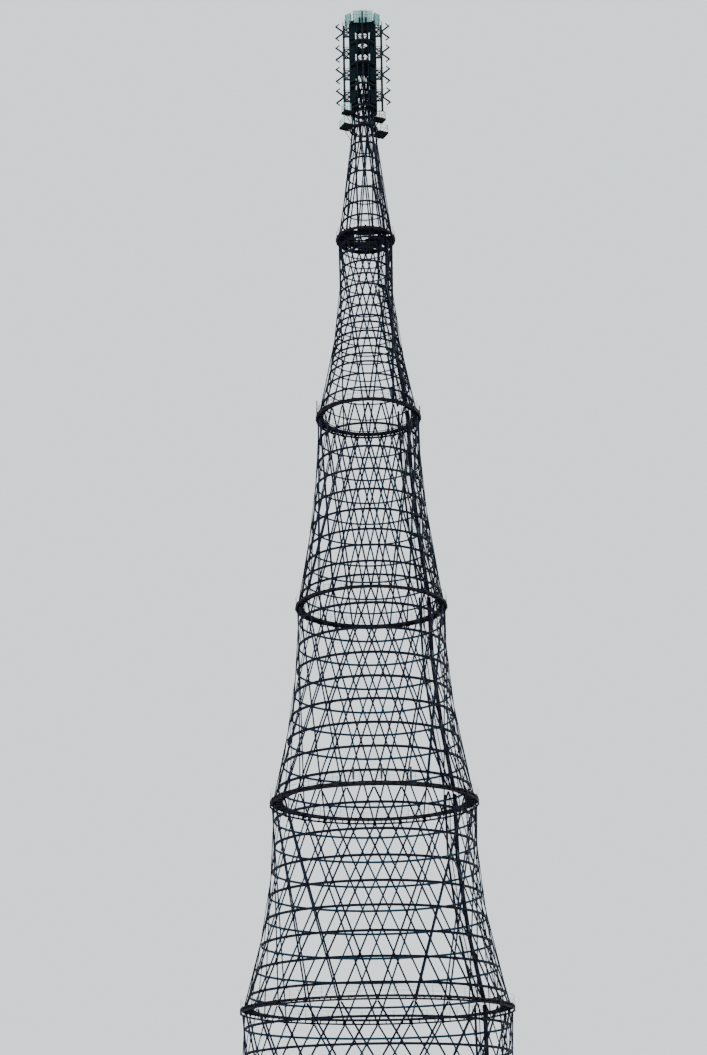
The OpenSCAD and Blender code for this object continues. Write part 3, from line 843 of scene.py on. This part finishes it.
def buildLadderCage():
    azimuth = ladder["azimuth"]
    places, brackets, stringers, trays = [], [], [], []
    for k in range(6):
        z, width = runLevels(k), ladderWidth(k)
        thin = width / ladder["width"]
        for i in range(3):
            low, high = z[i] + (ladder["firstHoop"] if k == 0 and i == 0 else 25), z[i + 1] - 12
            count = max(2, round((high - low) / ladder["cageStep"]) + 1)
            rows = [[cagePoint(k, low + (high - low) * n / (count - 1), t / 8) for t in range(9)]
                    for n in range(count)]
            places += [strutMatrix(row[t], row[t + 1]) for row in rows for t in range(8)]
            places += [strutMatrix(a[t], b[t]) for t in (3, 6) for a, b in zip(rows, rows[1:])]
            # channel along the outer side of the safety cage, and one along the right rail
            ends = [cagePoint(k, h, 0.6) for h in (low, high)]
            stringers.append(strutMatrix(*ends) @ Matrix.Diagonal((thin, 0.75 * thin, 1, 1)))
            ends = [(runRadius(k, h, width) - 15 * thin, width / 2 + 5, h) for h in (z[i] + 8, z[i + 1])]
            stringers.append(runStrut(azimuth, *ends) @ Matrix.Diagonal((thin, thin, 1, 1)))
            if k < 5:
                ends = [(runRadius(k, h, width) - 10, width / 2 + 34, h) for h in (z[i], z[i + 1])]
                trays.append(runStrut(azimuth, *ends))
        for share in hoopShares[k]:
            level = heightAt(k, share)
            if any(abs(level - h) < 20 for h in z):
                continue
            reach = hoopRadius(k, level) - tower["hoopDepth"] + 2
            for across in (4 - width / 2, width / 2 - 4):
                brackets.append(runStrut(azimuth, (runAt(k, level, width) - 5, across, level),
                                         (chordRadius(reach, 2 * abs(across)), across, level)))
    parts = [stamp("straps", unitBar(*ladder["strap"]), places),
             stamp("brackets", unitStrut(ladder["bracket"]), brackets),
             stamp("stringers", unitBar(*ladder["stringer"]), stringers),
             stamp("trays", unitBar(*ladder["tray"]), trays)]
    return finishPiece(joinPieces("ladder_cage", parts), "ladder_steel")


for k in range(6):
    buildLadderFlights(k)
buildLadderCage()
print("ladder ready")


# Feeders: five sheathed cables clamped side by side, with a clamp bar every step

feeder = {
    "azimuth": 67, "width": 46, "depth": 11, "sides": 10, "cables": [6, 6, 5, 5, 4],
    "places": [-19, -12.6, -6.8, -1.6, 3.2], "trussReach": [160, 160, 160, 118, 104, 50],
    "laceStep": [150, 150, 150, 78, 78, 78], "chord": 10, "lace": (14, 5), "arm": 7,
}


def feederAzimuth(k):
    radius = min(runRadius(k, z, feeder["width"]) for z in runLevels(k))
    apart = (ladderWidth(k) + 20 + feeder["width"] + 20) / 4
    return max(feeder["azimuth"], ladder["azimuth"] + 2 * math.degrees(math.asin(apart / radius)))


def feederPoint(k, z, depth, across):
    return onRun(feederAzimuth(k), runAt(k, z, feeder["width"]) - depth, across, z)


def buildFeeders():
    # The cables pass through every deck, so their lines run on from one section to the next
    stops = [(k, z) for k in range(6) for z in runLevels(k)]
    parts = []
    for size, across in zip(feeder["cables"], feeder["places"]):
        line = [feederPoint(k, z, feeder["depth"] / 2, across) for k, z in stops]
        places = [strutMatrix(a, b) for a, b in zip(line, line[1:])]
        parts.append(stamp("cable", unitStrut(size, feeder["sides"]), places))
    return finishPiece(joinPieces("feeder_cables", parts), "cable_sheath", ["feeder_run"])


def buildFeederTruss():
    # Laced steel frame beside the cables: two chords with zigzag flats between them
    chords, laces, clamps, arms = [], [], [], []
    for k in range(6):
        z, far = runLevels(k), feeder["trussReach"][k]
        for low, high in zip(z, z[1:]):
            chords += [strutMatrix(feederPoint(k, low, 5, across), feederPoint(k, high, 5, across))
                       for across in (-2, far)]
            count = max(2, round((high - low) / feeder["laceStep"][k]))
            for n in range(count):
                a, b = low + (high - low) * n / count, low + (high - low) * (n + 1) / count
                left, right = (0, far) if n % 2 else (far, 0)
                laces.append(strutMatrix(feederPoint(k, a, 5, left), feederPoint(k, b, 5, right)))
                middle = (a + b) / 2
                radius = runAt(k, middle, feeder["width"]) - feeder["depth"] / 2
                clamps.append(around(feederAzimuth(k), radius, middle))
        for share in hoopShares[k]:
            level = heightAt(k, share)
            reach = hoopRadius(k, level) - tower["hoopDepth"] + 2
            for across in (-14, far):
                end = onRun(feederAzimuth(k), chordRadius(reach, 2 * abs(across)), across, level)
                arms.append(strutMatrix(feederPoint(k, level, 4, across), end))
    clamp = [addBlock((2, 48, 5), (-6, 0, 0)), addBlock((3, 48, 5), (6, 0, 0))]
    clamp += [addRivet(2, 3, (-8, y, 0), (0, -90, 0)) for y in (-22, 22)]
    parts = [stamp("chords", unitStrut(feeder["chord"]), chords),
             stamp("laces", unitBar(*feeder["lace"]), laces),
             stamp("clamps", joinPieces("clamp", clamp), clamps),
             stamp("arms", unitStrut(feeder["arm"]), arms)]
    return finishPiece(joinPieces("feeder_truss", parts), "ladder_steel")


buildFeederTruss()
buildFeeders()
print("feeders ready")


# Rest platforms: open rails and knee braces round the landing plates

rest = {"depth": 96, "height": 92, "tube": 4, "side": 10}


def buildRestRails():
    places = []
    for k in range(6):
        for i in restHoops[k]:
            z = heightAt(k, hoopShares[k][i]) + tower["hoopHeight"][k] / 2
            width = ladderWidth(k) + 2 * rest["side"] - 6
            outer = chordRadius(min(innerRadius(k, z), innerRadius(k, z + 7)) - tower["seatGap"], width + 6)
            inner = outer - rest["depth"] * (1 if k < 5 else ladder["topShare"]) + 3
            top, half = z + ladder["restThickness"], width / 2
            corners = [(outer - 26, -half), (inner, -half), (inner, half), (outer - 26, half)]
            ends = [((*corner, top - 2), (*corner, top + rest["height"])) for corner in corners]
            for height in (top + rest["height"], top + rest["height"] / 2):
                ends += [((*a, height), (*b, height)) for a, b in zip(corners, corners[1:])]
            ends += [((inner + 12, y, z + 1), (outer - 16, y, z - 40)) for y in (-half, half)]
            places += [runStrut(ladder["azimuth"], *pair) for pair in ends]
    return finishPiece(stamp("rest_platform_rails", unitStrut(rest["tube"], 8), places), "rail_steel")


buildRestRails()
print("rest platform rails ready")


# Foundation ring: cast blocks with chamfered edges, and shoes with ribs, anchor bolts and nuts

footing = {"inside": 85, "outside": 78, "height": 50, "chamfer": 7, "joint": 2, "blocks": 24}
shoe = {"length": 92, "width": 70, "height": 20, "plate": 8, "cheek": (70, 6, 58), "bolt": 5, "nut": 9}


def buildFoundation():
    outer = tower["jointRadius"][0] + footing["outside"]
    inner = tower["jointRadius"][0] - footing["inside"]
    half, height = math.pi / footing["blocks"], footing["height"]
    deep = (outer - inner) * math.cos(half) - 0.02
    middle = (outer + inner) / 2 * math.cos(half) - 0.01
    wide, narrow = (2 * radius * math.sin(half) - footing["joint"] for radius in (outer, inner))
    block = addBlock((deep, wide, height), (middle, 0, height / 2))
    taper(block, (1, narrow / wide, 1), lambda f: f.normal.x < -0.9)
    chamfer(block, footing["chamfer"], lambda e: min(v.co.z for v in e.verts) > (height - 1) * mm)
    return finishPiece(stamp("cast_ring", block, ringOf(footing["blocks"])), "ring_concrete", ["foundation"])


def buildShoes():
    base = footing["height"] + shoe["plate"]
    plate = addBlock((shoe["length"], shoe["width"], shoe["plate"]), (0, 0, base - shoe["plate"] / 2))
    chamfer(plate, 2.5, lambda e: min(v.co.z for v in e.verts) > (base - 1) * mm or span(e) > 1e-4)
    rise = shoe["height"] - shoe["plate"]
    parts = [plate, chamfer(addBlock((60, 52, rise), (0, 0, base + rise / 2)), 2)]
    for side in (-1, 1):
        cheek = addBlock(shoe["cheek"], (0, side * 28.5, base + shoe["cheek"][2] / 2))
        taper(cheek, (0.45, 1, 1))
        parts.append(cheek)
        parts += [addRivet(3, 2.4, (x, side * 31.9, base + z), (-90 * side, 0, 0))
                  for x, z in ((-12, 22), (12, 22), (0, 42))]
    for x in (-38, 38):
        for y in (-27, 27):
            parts.append(addRound(shoe["nut"] / 2, 6, 6, (x, y, base + 3)))
            parts.append(addRound(shoe["bolt"] / 2, 14, 8, (x, y, base + 7)))
    parts += [addBlock((14, 5, 11), (x, 0, base + 5.5)) for x in (-36, 36)]
    places = ringOf(footing["blocks"], 0, tower["jointRadius"][0])
    return finishPiece(stamp("cast_shoes", joinPieces("shoe", parts), places), "shoe_iron", ["bearing_shoes"])


buildFoundation()
buildShoes()
print("foundation ready")


# Cabinets: doors in raised frames, louvres, hinges, handles, rain caps and conduits

# joint, azimuth, depth, width, height
cabinets = [(3, 77, 50, 90, 118), (3, 85, 50, 60, 92), (4, 84, 34, 70, 104)]
cabinetDetail = {"gap": 3, "frame": 5, "proud": 2, "louvres": 6, "louvreStep": 4.4, "cap": 5}


def buildCabinets():
    cap, proud = cabinetDetail["cap"], cabinetDetail["proud"]
    parts = []
    for j, azimuth, deep, wide, high in cabinets:
        z = levels[j] + halfDeck
        back = chordRadius(innerRadius(j, z + high) - cabinetDetail["gap"], wide)
        body = addBlock((deep - 2 * proud, wide - 2, high - cap), (0, 0, (high - cap) / 2))
        pickFaces(body, lambda f: f.normal.x < -0.9)
        for thickness, depth in ((cabinetDetail["frame"], 0), (0.8, -1.2), (0.8, 1.8)):
            bpy.ops.mesh.inset(thickness=thickness * mm, depth=depth * mm)
        leaveEdit()
        roof = addBlock((deep, wide, cap), (0, 0, high - cap / 2))
        taper(roof, (0.86, 0.92, 1))
        made = [body, roof]
        face = -deep / 2 + proud
        for n in range(cabinetDetail["louvres"]):
            rise = high * 0.68 + n * cabinetDetail["louvreStep"]
            slat = addBlock((2.4, wide * 0.5, 2), (face - 1, 0, rise))
            taper(slat, (0.4, 1, 1))
            made.append(slat)
        made += [addRound(1.5, 9, 8, (face - 0.6, -wide / 2 + 3.4, high * share))
                 for share in (0.15, 0.5, 0.82)]
        made.append(addBlock((3, 3, 14), (face - 1.6, wide / 2 - 12, high * 0.5)))
        made += [addRound(2.6, 12, 10, (0, y * wide, 2)) for y in (-0.25, 0.05, 0.3)]
        cabinet = joinPieces("cabinet", made)
        cabinet.data.transform(around(azimuth, back - deep / 2, z))
        parts.append(cabinet)
    return finishPiece(joinPieces("service_cabinets", parts), "cabinet_paint", ["equipment_boxes"])


buildCabinets()
print("cabinets ready")


# Panel antennas: rounded radomes on round posts, with two brackets and a lead each

# joint, azimuth, height of the radome
panels = [(2, -11, 150), (2, 4, 170), (2, 20, 150), (4, 26, 90)]
panel = {"depth": 16, "width": 24, "foot": 60, "round": 6, "post": 3.2, "inset": 16}


def buildPanels():
    shells, fixings = [], []
    foot = panel["foot"]
    for j, azimuth, high in panels:
        radius = tower["jointRadius"][j] + tower["galleryOverhang"] - panel["inset"]
        place = around(azimuth, radius, levels[j] + halfDeck)
        shell = addBlock((panel["depth"], panel["width"], high), (5, 0, foot + high / 2))
        chamfer(shell, panel["round"], lambda e: span(e) > 1e-4 and e.verts[0].co.x > 6 * mm, 4)
        chamfer(shell, 1.5, lambda e: span(e) < 1e-5 and (
            e.verts[0].co.z > (foot - 1 + high) * mm or e.verts[0].co.z < (foot + 1) * mm))
        tall = foot + 6 + high * 0.8
        made = [addRound(panel["post"], tall, 12, (0, 0, tall / 2)), addBlock((16, 22, 3), (1, 0, 1.5))]
        made += [addBlock((10, 12, 8), (1, 0, foot + 6 + high * share)) for share in (0.15, 0.7)]
        made.append(addRound(1.6, 52, 8, (5, 4, 34)))
        fixing = joinPieces("panelPost", made)
        for piece, row in ((shell, shells), (fixing, fixings)):
            piece.data.transform(place)
            row.append(piece)
    finishPiece(joinPieces("panel_radomes", shells), "radome", ["panel_antennas"])
    finishPiece(joinPieces("panel_posts", fixings), "antenna_steel")


buildPanels()


# Whips: stepped rods on ribbed foot insulators

# azimuth, height, reach of the side arm
whips = [(-96, 285, 26), (96, 190, 0)]


def buildWhips():
    parts = []
    for azimuth, high, arm in whips:
        made = [addRound(7, 5, 12, (0, 0, 2.5))]
        made += [addRound(5 - n * 0.5, 4, 12, (0, 0, 8 + n * 5)) for n in range(4)]
        made += [addRound(8, high * 0.6, 10, (0, 0, high * 0.3)),
                 addRound(6.5, high * 0.4, 10, (0, 0, high * 0.8 - 0.5)),
                 addRound(9, 8, 10, (0, 0, high * 0.6))]
        if arm:
            made += [addRound(2.6, arm + 4, 8, (-arm / 2 + 1, 0, high * 0.6), (0, 90, 0)),
                     addRound(4, high * 0.34, 10, (-arm + 1, 0, high * 0.6))]
        whip = joinPieces("whip", made)
        radius = tower["jointRadius"][4] + tower["galleryOverhang"] - 8
        whip.data.transform(around(azimuth, radius, levels[4] + halfDeck))
        parts.append(whip)
    return finishPiece(joinPieces("gallery_whips", parts), "antenna_steel", ["whip_antennas"])


buildWhips()
print("gallery antennas ready")


# Service platforms of the top section: edge angles, cross bars and struts down to the lattice

# a platform is its level, length and width
service = {
    "turn": 26, "platforms": [(14080, 646, 166), (14290, 604, 116)], "start": 175, "step": 24,
    "strutDrop": 150,
}


def buildServiceSteel():
    start, drop = service["start"], service["strutDrop"]
    parts, crossPlaces, struts = [], [], []
    for z, long, wide in service["platforms"]:
        foot = lineRadius(5, z - drop) - 2
        for turn in (0, 180):
            place = Matrix.Rotation(math.radians(service["turn"] + turn), 4, "Z")
            reach, middle = long / 2 - start, (long / 2 + start) / 2
            made = [addBlock((4, wide - 6, 18), (long / 2 - 3, 0, z - 5))]
            for side in (-1, 1):
                made += [addBlock((reach, 4, 18), (middle, side * (wide / 2 - 3), z - 5)),
                         addBlock((reach, 9, 3), (middle, side * (wide / 2 - 6), z - 12.5))]
                y = side * (wide / 2 - 14)
                struts.append(strutMatrix(
                    place @ Vector((long / 2 * 0.78, y, z - 8)),
                    place @ Vector((math.sqrt(max(foot ** 2 - y ** 2, 1)), y, z - drop))))
            for piece in made:
                piece.data.transform(place)
            parts += made
            for n in range(int(reach / service["step"])):
                at = Matrix.Translation(((start + 8 + n * service["step"]) * mm, 0, (z - 3.5) * mm))
                crossPlaces.append(place @ at @ Matrix.Diagonal((1, (wide - 10) / 1000, 1, 1)))
    parts += [stamp("crossBars", addBlock((4, 1000, 7)), crossPlaces), stamp("struts", unitStrut(9), struts)]
    return finishPiece(joinPieces("service_platform_steel", parts), "deck_steel")


buildServiceSteel()
print("service platforms ready")


# Antenna cage: corner posts, ribbed screens, edge beams with the floors raised on joists,
# lacing out to the four poles and stand-off tubes between them

cage = {
    "radius": 198, "tier": 320, "deck": 14, "post": 187, "postThick": 10, "screen": (4, 196), "slit": 36,
    "waist": 6, "corner": 36, "rib": (3, 2.4), "ribStep": 14, "floorRise": 20, "floorSheet": 5,
    "floorWidth": 116, "mastRadius": 22, "mastTube": 5, "bayStrut": 9, "poleRadius": 260, "pole": 10,
    "dipoleRise": 220, "reach": 104, "tiers": [14360, 14680, 15000, 15320], "crown": 15640,
    "riser": (22, 20), "standOff": 232, "standOffTube": 12, "brace": 6, "arm": 17, "lead": 4.4,
    "dipole": (23, 16),
}
halfSide = math.radians(22.5)  # half the angle that one side of the octagon takes


def octagonRing(radius, low, high, width):
    # Eight straight beams whose corners stand at the odd multiples of 22.5 degrees
    clearSelection()
    bpy.ops.mesh.primitive_cylinder_add(
        vertices=8, radius=radius * mm, depth=(high - low) * mm, location=(0, 0, (low + high) / 2 * mm),
        rotation=(0, 0, halfSide))
    piece = settle(bpy.context.object)
    pickFaces(piece, lambda f: abs(f.normal.z) > 0.9)
    bpy.ops.mesh.inset(thickness=width * mm)
    bpy.ops.mesh.bridge_edge_loops()
    closeEdit()
    return piece


def buildScreens(low, high):
    # Ribbed screens on six sides, slit at the corner that they share with an open bay
    bay = 2 * cage["post"] * math.sin(halfSide) - cage["postThick"] + 8
    face, middle = cage["post"] * math.cos(halfSide), low + high / 2
    thick, tall = cage["screen"]
    screens, ribs = [], []
    for azimuth in (90, 270, 45, 135, 225, 315):
        side = 0 if azimuth in (90, 270) else 1 if azimuth in (45, 225) else -1
        shift, wide = side * cage["slit"] / 2, bay - (cage["slit"] if side else 0)
        screen = addBlock((thick, wide, tall))
        pickFaces(screen, lambda f: abs(f.normal.x) > 0.9)
        bpy.ops.mesh.inset(thickness=6 * mm)
        bpy.ops.mesh.inset(thickness=0.5 * mm, depth=-1.2 * mm)
        leaveEdit()
        screen.data.transform(around(azimuth, face, middle) @ Matrix.Translation((0, shift * mm, 0)))
        screens.append(screen)
        for y in (i * cage["ribStep"] for i in range(-5, 6)):
            if abs(y) < wide / 2 - 8:
                ribs.append(around(azimuth, face + 1, middle) @ Matrix.Translation((0, (y + shift) * mm, 0)))
    rib = addBlock((*cage["rib"], tall - 14), (cage["rib"][0] / 2, 0, 0))
    return screens + [stamp("ribs", rib, ribs)]


def buildBays(low, high, rows):
    # Open bays at the front and back: corner plates, a bent brace and level slats
    bay = 2 * cage["post"] * math.sin(halfSide) - cage["postThick"]
    face, top, size = cage["post"] * math.cos(halfSide), low + high, cage["corner"]
    parts, struts = [], []
    for azimuth in (0, 180):
        for side in (-1, 1):
            for z, up in ((top, -1), (low + cage["floorRise"], 1)):
                corner = addBlock((4, size, size))
                chamfer(corner, size * 0.93,
                        lambda e: all(v.co.y * side < 0 and v.co.z * up > 0 for v in e.verts))
                shift = Matrix.Translation((0, side * (bay + 4 - size) / 2 * mm, 0))
                corner.data.transform(around(azimuth, face, z + up * size / 2) @ shift)
                parts.append(corner)
            struts.append(runStrut(
                azimuth, (face - 4, side * bay * 0.42, low + high / 2), (face - 4, -side * bay * 0.12, top)))
        struts += [runStrut(azimuth, (face - 4, -bay / 2, h), (face - 4, bay / 2, h))
                   for h in (low + high * share for share in rows)]
    return parts + [stamp("bayStruts", unitStrut(cage["bayStrut"]), struts)]


def buildMast(low, high):
    # Slim three-legged mast inside the upper tiers, laced in eight panels
    legs = [strutMatrix(spot(cage["mastRadius"], a, low), spot(cage["mastRadius"], a, low + high))
            for a in (0, 120, 240)]
    for i in range(8):
        a, b = low + high * i / 8, low + high * (i + 1) / 8
        legs += [strutMatrix(spot(cage["mastRadius"], c + 120 * (i % 2), a),
                             spot(cage["mastRadius"], c + 120 * (1 - i % 2), b)) for c in (0, 120, 240)]
    return stamp("mast", unitStrut(cage["mastTube"], 6), legs)


def buildTier(n):
    bay = 2 * cage["post"] * math.sin(halfSide) - cage["postThick"]
    thick, z = cage["postThick"], cage["tiers"][n]
    low, high = z + cage["deck"] / 2, cage["tier"] - cage["deck"]
    # the posts of the third tier start on its floor, the others in it
    root = 0 if n == 2 else cage["deck"] / 2
    post = joinPieces("post", [
        addBlock((thick, thick, high + root), (0, 0, (high - root) / 2)),
        addBlock((3, 16, high - 4), (6, 0, high / 2))])
    waist = addBlock((5, bay + 8, cage["waist"]))
    parts = [stamp("posts", post, ringOf(8, 22.5, cage["post"], low)),
             stamp("waists", waist, ringOf(8, 0, cage["post"] * math.cos(halfSide), low + high / 2)),
             *buildScreens(low, high)]
    if n > 1:
        parts += buildBays(low, high, (0.2, 0.31, 0.85) if n == 3 else (0.85,))
    if n != 2:
        parts.append(octagonRing(cage["radius"], z - 7, z + 7, 16))
    if n > 1:
        parts.append(buildMast(low, high))
    return finishPiece(joinPieces(f"cage_tier_{n + 1}", parts), "cage_steel", [f"antenna_tier_{n + 1}"])


def buildFloors():
    # Sheet floors on joists, open in the middle; the two lower ones leave room for the lattice
    rise, sheet, radius = cage["floorRise"], cage["floorSheet"], cage["radius"]
    parts, joists, feet = [], [], []
    for n, z in enumerate(cage["tiers"]):
        width = radius - 10 - (lineRadius(5, z + rise) + 14) if n < 2 else cage["floorWidth"]
        parts.append(octagonRing(radius - 10, z + rise - sheet, z + rise, width))
        parts.append(octagonRing(radius - 8, z + rise - 12, z + rise + 3, 4))
        feet += ringOf(8, 22.5, cage["post"] - 8, z + rise / 2)
        joists += ringOf(8, 0, 164, z + rise - sheet - 6)
    parts += [stamp("joists", addBlock((34, 6, 12)), joists), stamp("feet", addBlock((8, 8, rise)), feet),
              octagonRing(radius, levels[6] - 7, levels[6] + 7, 16), addRound(158, 14, 48, (0, 0, levels[6]))]
    return finishPiece(joinPieces("cage_floors", parts), "deck_steel", ["head_deck"])


def buildCageSteel():
    face, pole, away = cage["post"] * math.cos(halfSide) + 2, cage["poleRadius"], cage["standOff"]
    braces, clamps, tubes, arms = [], [], [], []
    for z in cage["tiers"]:
        centre = z + cage["dipoleRise"]
        for azimuth in range(0, 360, 90):
            clamps += [around(azimuth, pole, h) for h in (z, z + cage["tier"] / 2)]
            # level and crossed arms between the cage and each pole, round the dipole's height
            for near, far in ((-70, -70), (0, 0), (70, 70), (70, 0), (0, 70), (-70, 0), (0, -70)):
                arms.append(runStrut(azimuth, (face, 0, centre + near), (pole, 0, centre + far)))
        for azimuth in range(45, 360, 90):
            # stand-off tube with arms to the corner posts
            tubes.append(runStrut(azimuth, (away, 0, centre - 110), (away, 0, centre + 80)))
            for h in (centre - 80, centre, centre + 60):
                braces += [strutMatrix(onRun(azimuth, away, 0, h), spot(cage["post"], azimuth + turn, h))
                           for turn in (-22.5, 22.5)]
    clamp = [addBlock((16, 16, 10))] + [addRound(1.6, 22, 6, (x, 0, 0), (90, 0, 0)) for x in (-4, 4)]
    tall = cage["crown"] - cage["tiers"][0]
    riser = addBlock((*cage["riser"], tall), (0, 0, tall / 2))
    pickFaces(riser, lambda f: f.normal.x < -0.9)
    bpy.ops.mesh.inset(thickness=2 * mm)
    extrude(5, 0, 0)
    leaveEdit()
    parts = [stamp("braces", unitStrut(cage["brace"], 6), braces),
             stamp("tubes", unitStrut(cage["standOffTube"], 8), tubes),
             stamp("arms", unitStrut(cage["arm"], 6), arms),
             stamp("clamps", joinPieces("poleClamp", clamp), clamps),
             stamp("risers", riser, [around(azimuth, pole - 13, cage["tiers"][0]) for azimuth in (90, 270)])]
    return finishPiece(joinPieces("cage_steelwork", parts), "cage_steel")


def buildDipoles(n):
    # Tubes with turned-back ends above and below a feed box, at each of the four poles
    z = cage["tiers"][n] + cage["dipoleRise"]
    root, tip = cage["poleRadius"] + cage["pole"] / 2, cage["poleRadius"] + cage["reach"]
    tubes, wires, caps = [], [], []
    for azimuth in range(0, 360, 90):
        for up in (-1, 1):
            line = [spot(radius, azimuth, z + up * rise)
                    for radius, rise in ((root + 5, 18), (tip - 9, 88), (tip - 54, 126))]
            tubes.append(strutMatrix(line[0], line[1]))
            wires.append(strutMatrix(line[1], line[2]))
            caps.append(Matrix.Translation(line[1] * mm))
    feed = [chamfer(addBlock((14, 18, 60), (7, 0, 0)), 2.5)]
    feed += [addRound(5.4, 2, 10, (16 + 3.4 * i, 0, up * 26), (0, 90, 0)) for i in range(3) for up in (-1, 1)]
    thick, thin = cage["dipole"]
    parts = [stamp("tubes", unitStrut(thick, 8), tubes), stamp("wires", unitStrut(thin, 8), wires),
             stamp("caps", addRound(12, 8, 10), caps),
             stamp("boxes", joinPieces("feedBox", feed), ringOf(4, 0, root, z))]
    return finishPiece(joinPieces(f"dipole_set_{n + 1}", parts), "antenna_steel", [f"dipoles_{n + 1}"])


def buildLeads():
    # Two sheathed leads down each pole, and one across to each feed box
    leads = []
    inner, low, high = cage["poleRadius"] - 0.5, cage["tiers"][0] - 4, cage["crown"] + 20
    for azimuth in range(0, 360, 90):
        leads += [runStrut(azimuth, (inner, across, low), (inner, across, high)) for across in (-8, 8)]
        leads += [runStrut(azimuth, (inner, 8, z - 44), (inner + 9, 8, z - 20))
                  for z in (tier + cage["dipoleRise"] for tier in cage["tiers"])]
    return finishPiece(stamp("dipole_leads", unitStrut(cage["lead"], 8), leads), "cable_sheath")


# Crown: framed screens of upright slats that stand over the edge of the top deck

crown = {
    "deckTop": 15647, "slatStep": 7, "slat": (2.4, 5.6), "post": 8,
    # x and y of the middle, turn, width, underside, top, lean outwards
    "screens": [
        (-78, -206, 0, 84, 15556, 15742, 0), (8, -208, 0, 78, 15552, 15748, 0),
        (94, -206, 0, 84, 15560, 15738, 0),
        (-178, -130, -38, 92, 15580, 15732, 8), (182, -128, 38, 96, 15570, 15730, 8),
        (-212, 30, -90, 110, 15600, 15730, 10), (212, 30, 90, 110, 15600, 15726, 10),
        (-120, 168, -142, 90, 15647, 15780, 0), (120, 168, 142, 90, 15647, 15776, 0),
        (0, 196, 180, 96, 15647, 15819, 0),
        (-40, 20, 0, 70, 15647, 15790, 0), (52, 40, 30, 70, 15647, 15800, 0),
    ],
}


def buildCrown():
    frames, panes = [], []
    post, step = crown["post"], crown["slatStep"]
    for x, y, turn, wide, low, top, lean in crown["screens"]:
        high = top - low
        framed = [addBlock((post, post, high), (0, side * (wide - post) / 2, high / 2)) for side in (-1, 1)]
        framed += [addBlock((5, wide - post, 5), (0, 0, (high - 5) * share + 2.5))
                   for share in (0.03, 0.36, 0.68, 0.98)]
        framed.append(addBlock((26, 8, 6), (-12, 0, max(0, crown["deckTop"] - low) + 3)))
        count = int((wide - 2 * post) / step)
        slats = [addBlock((*crown["slat"], high - 12), (3, (i - (count - 1) / 2) * step, high / 2))
                 for i in range(count)]
        turned = around(turn) @ Matrix.Rotation(math.radians(lean), 4, "Y")
        for made, row in ((framed, frames), (slats, panes)):
            piece = joinPieces("screen", made)
            piece.data.transform(Matrix.Translation((x * mm, y * mm, low * mm)) @ turned)
            row.append(piece)
    finishPiece(joinPieces("crown_screen_frames", frames), "antenna_steel", ["crown_frames"])
    return finishPiece(joinPieces("crown_screen_slats", panes), "rail_steel")


for n in range(4):
    buildTier(n)
buildFloors()
buildCageSteel()
for n in range(4):
    buildDipoles(n)
buildLeads()
buildCrown()
print("antenna cage ready")


# Stage: pale floor, pale studio world, soft lights and the photograph's camera

camera = {
    "focalPixels": 2107.1, "imageHeight": 1055, "distance": 25.238, "eye": 0.168,
    "tilt": 14.412, "roll": -0.762, "pan": -0.529, "shiftPixels": 146.5,
}


def placeCamera():
    pan, tilt, roll = (math.radians(camera[key]) for key in ("pan", "tilt", "roll"))
    ahead = Vector((math.sin(pan), math.cos(pan), 0))
    right = Vector((math.cos(pan), -math.sin(pan), 0))
    up = -math.sin(tilt) * ahead + math.cos(tilt) * Vector((0, 0, 1))
    forward = math.cos(tilt) * ahead + math.sin(tilt) * Vector((0, 0, 1))
    side = math.cos(roll) * right + math.sin(roll) * up
    top = -math.sin(roll) * right + math.cos(roll) * up
    data = bpy.data.cameras.new("photographCamera")
    data.sensor_width = 36
    data.lens = camera["focalPixels"] / camera["imageHeight"] * 36
    data.shift_y = camera["shiftPixels"] / camera["imageHeight"]
    data.clip_end = 200
    view = bpy.data.objects.new("photographCamera", data)
    bpy.context.scene.collection.objects.link(view)
    turned = Matrix((side, top, -forward)).transposed().to_4x4()
    view.matrix_world = Matrix.Translation((0, -camera["distance"], camera["eye"])) @ turned
    bpy.context.scene.camera = view


def buildStage():
    clearSelection()
    bpy.ops.mesh.primitive_plane_add(size=160, location=(0, 0, 0))
    floor = bpy.context.object
    floor.name = "studio_floor"
    settle(floor)
    made, add = emptyMaterial("paintedStudioFloor")
    place = add("TexCoord").outputs["Object"]
    grain = add("TexNoise", {"Scale": 1.2, "Detail": 5}, {"Vector": place})
    tone = add("Mix", {"A": linear("#d6d8d8"), "B": linear("#dfe1e1")}, {"Factor": grain}, data_type="RGBA")
    shader = add("BsdfPrincipled", {"Roughness": 0.85}, {"Base Color": tone})
    add("OutputMaterial", None, {"Surface": shader})
    floor.data.materials.append(made)
    world = bpy.data.worlds.new("paleStudio")
    bpy.context.scene.world = world
    world.use_nodes = True
    world.node_tree.nodes.clear()
    glow = addNode(world.node_tree, "Background", {"Color": linear("#dde4e9"), "Strength": 1.7})
    addNode(world.node_tree, "OutputWorld", None, {"Surface": glow})
    for name, turn, strength, spread in (
            ("keyLight", (48, 0, -38), 1.4, 12), ("rimLight", (62, 0, 140), 1.0, 20)):
        data = bpy.data.lights.new(name, "SUN")
        data.energy = strength
        data.angle = math.radians(spread)
        lamp = bpy.data.objects.new(name, data)
        lamp.rotation_euler = [math.radians(t) for t in turn]
        bpy.context.scene.collection.objects.link(lamp)


placeCamera()
buildStage()
print("stage ready")
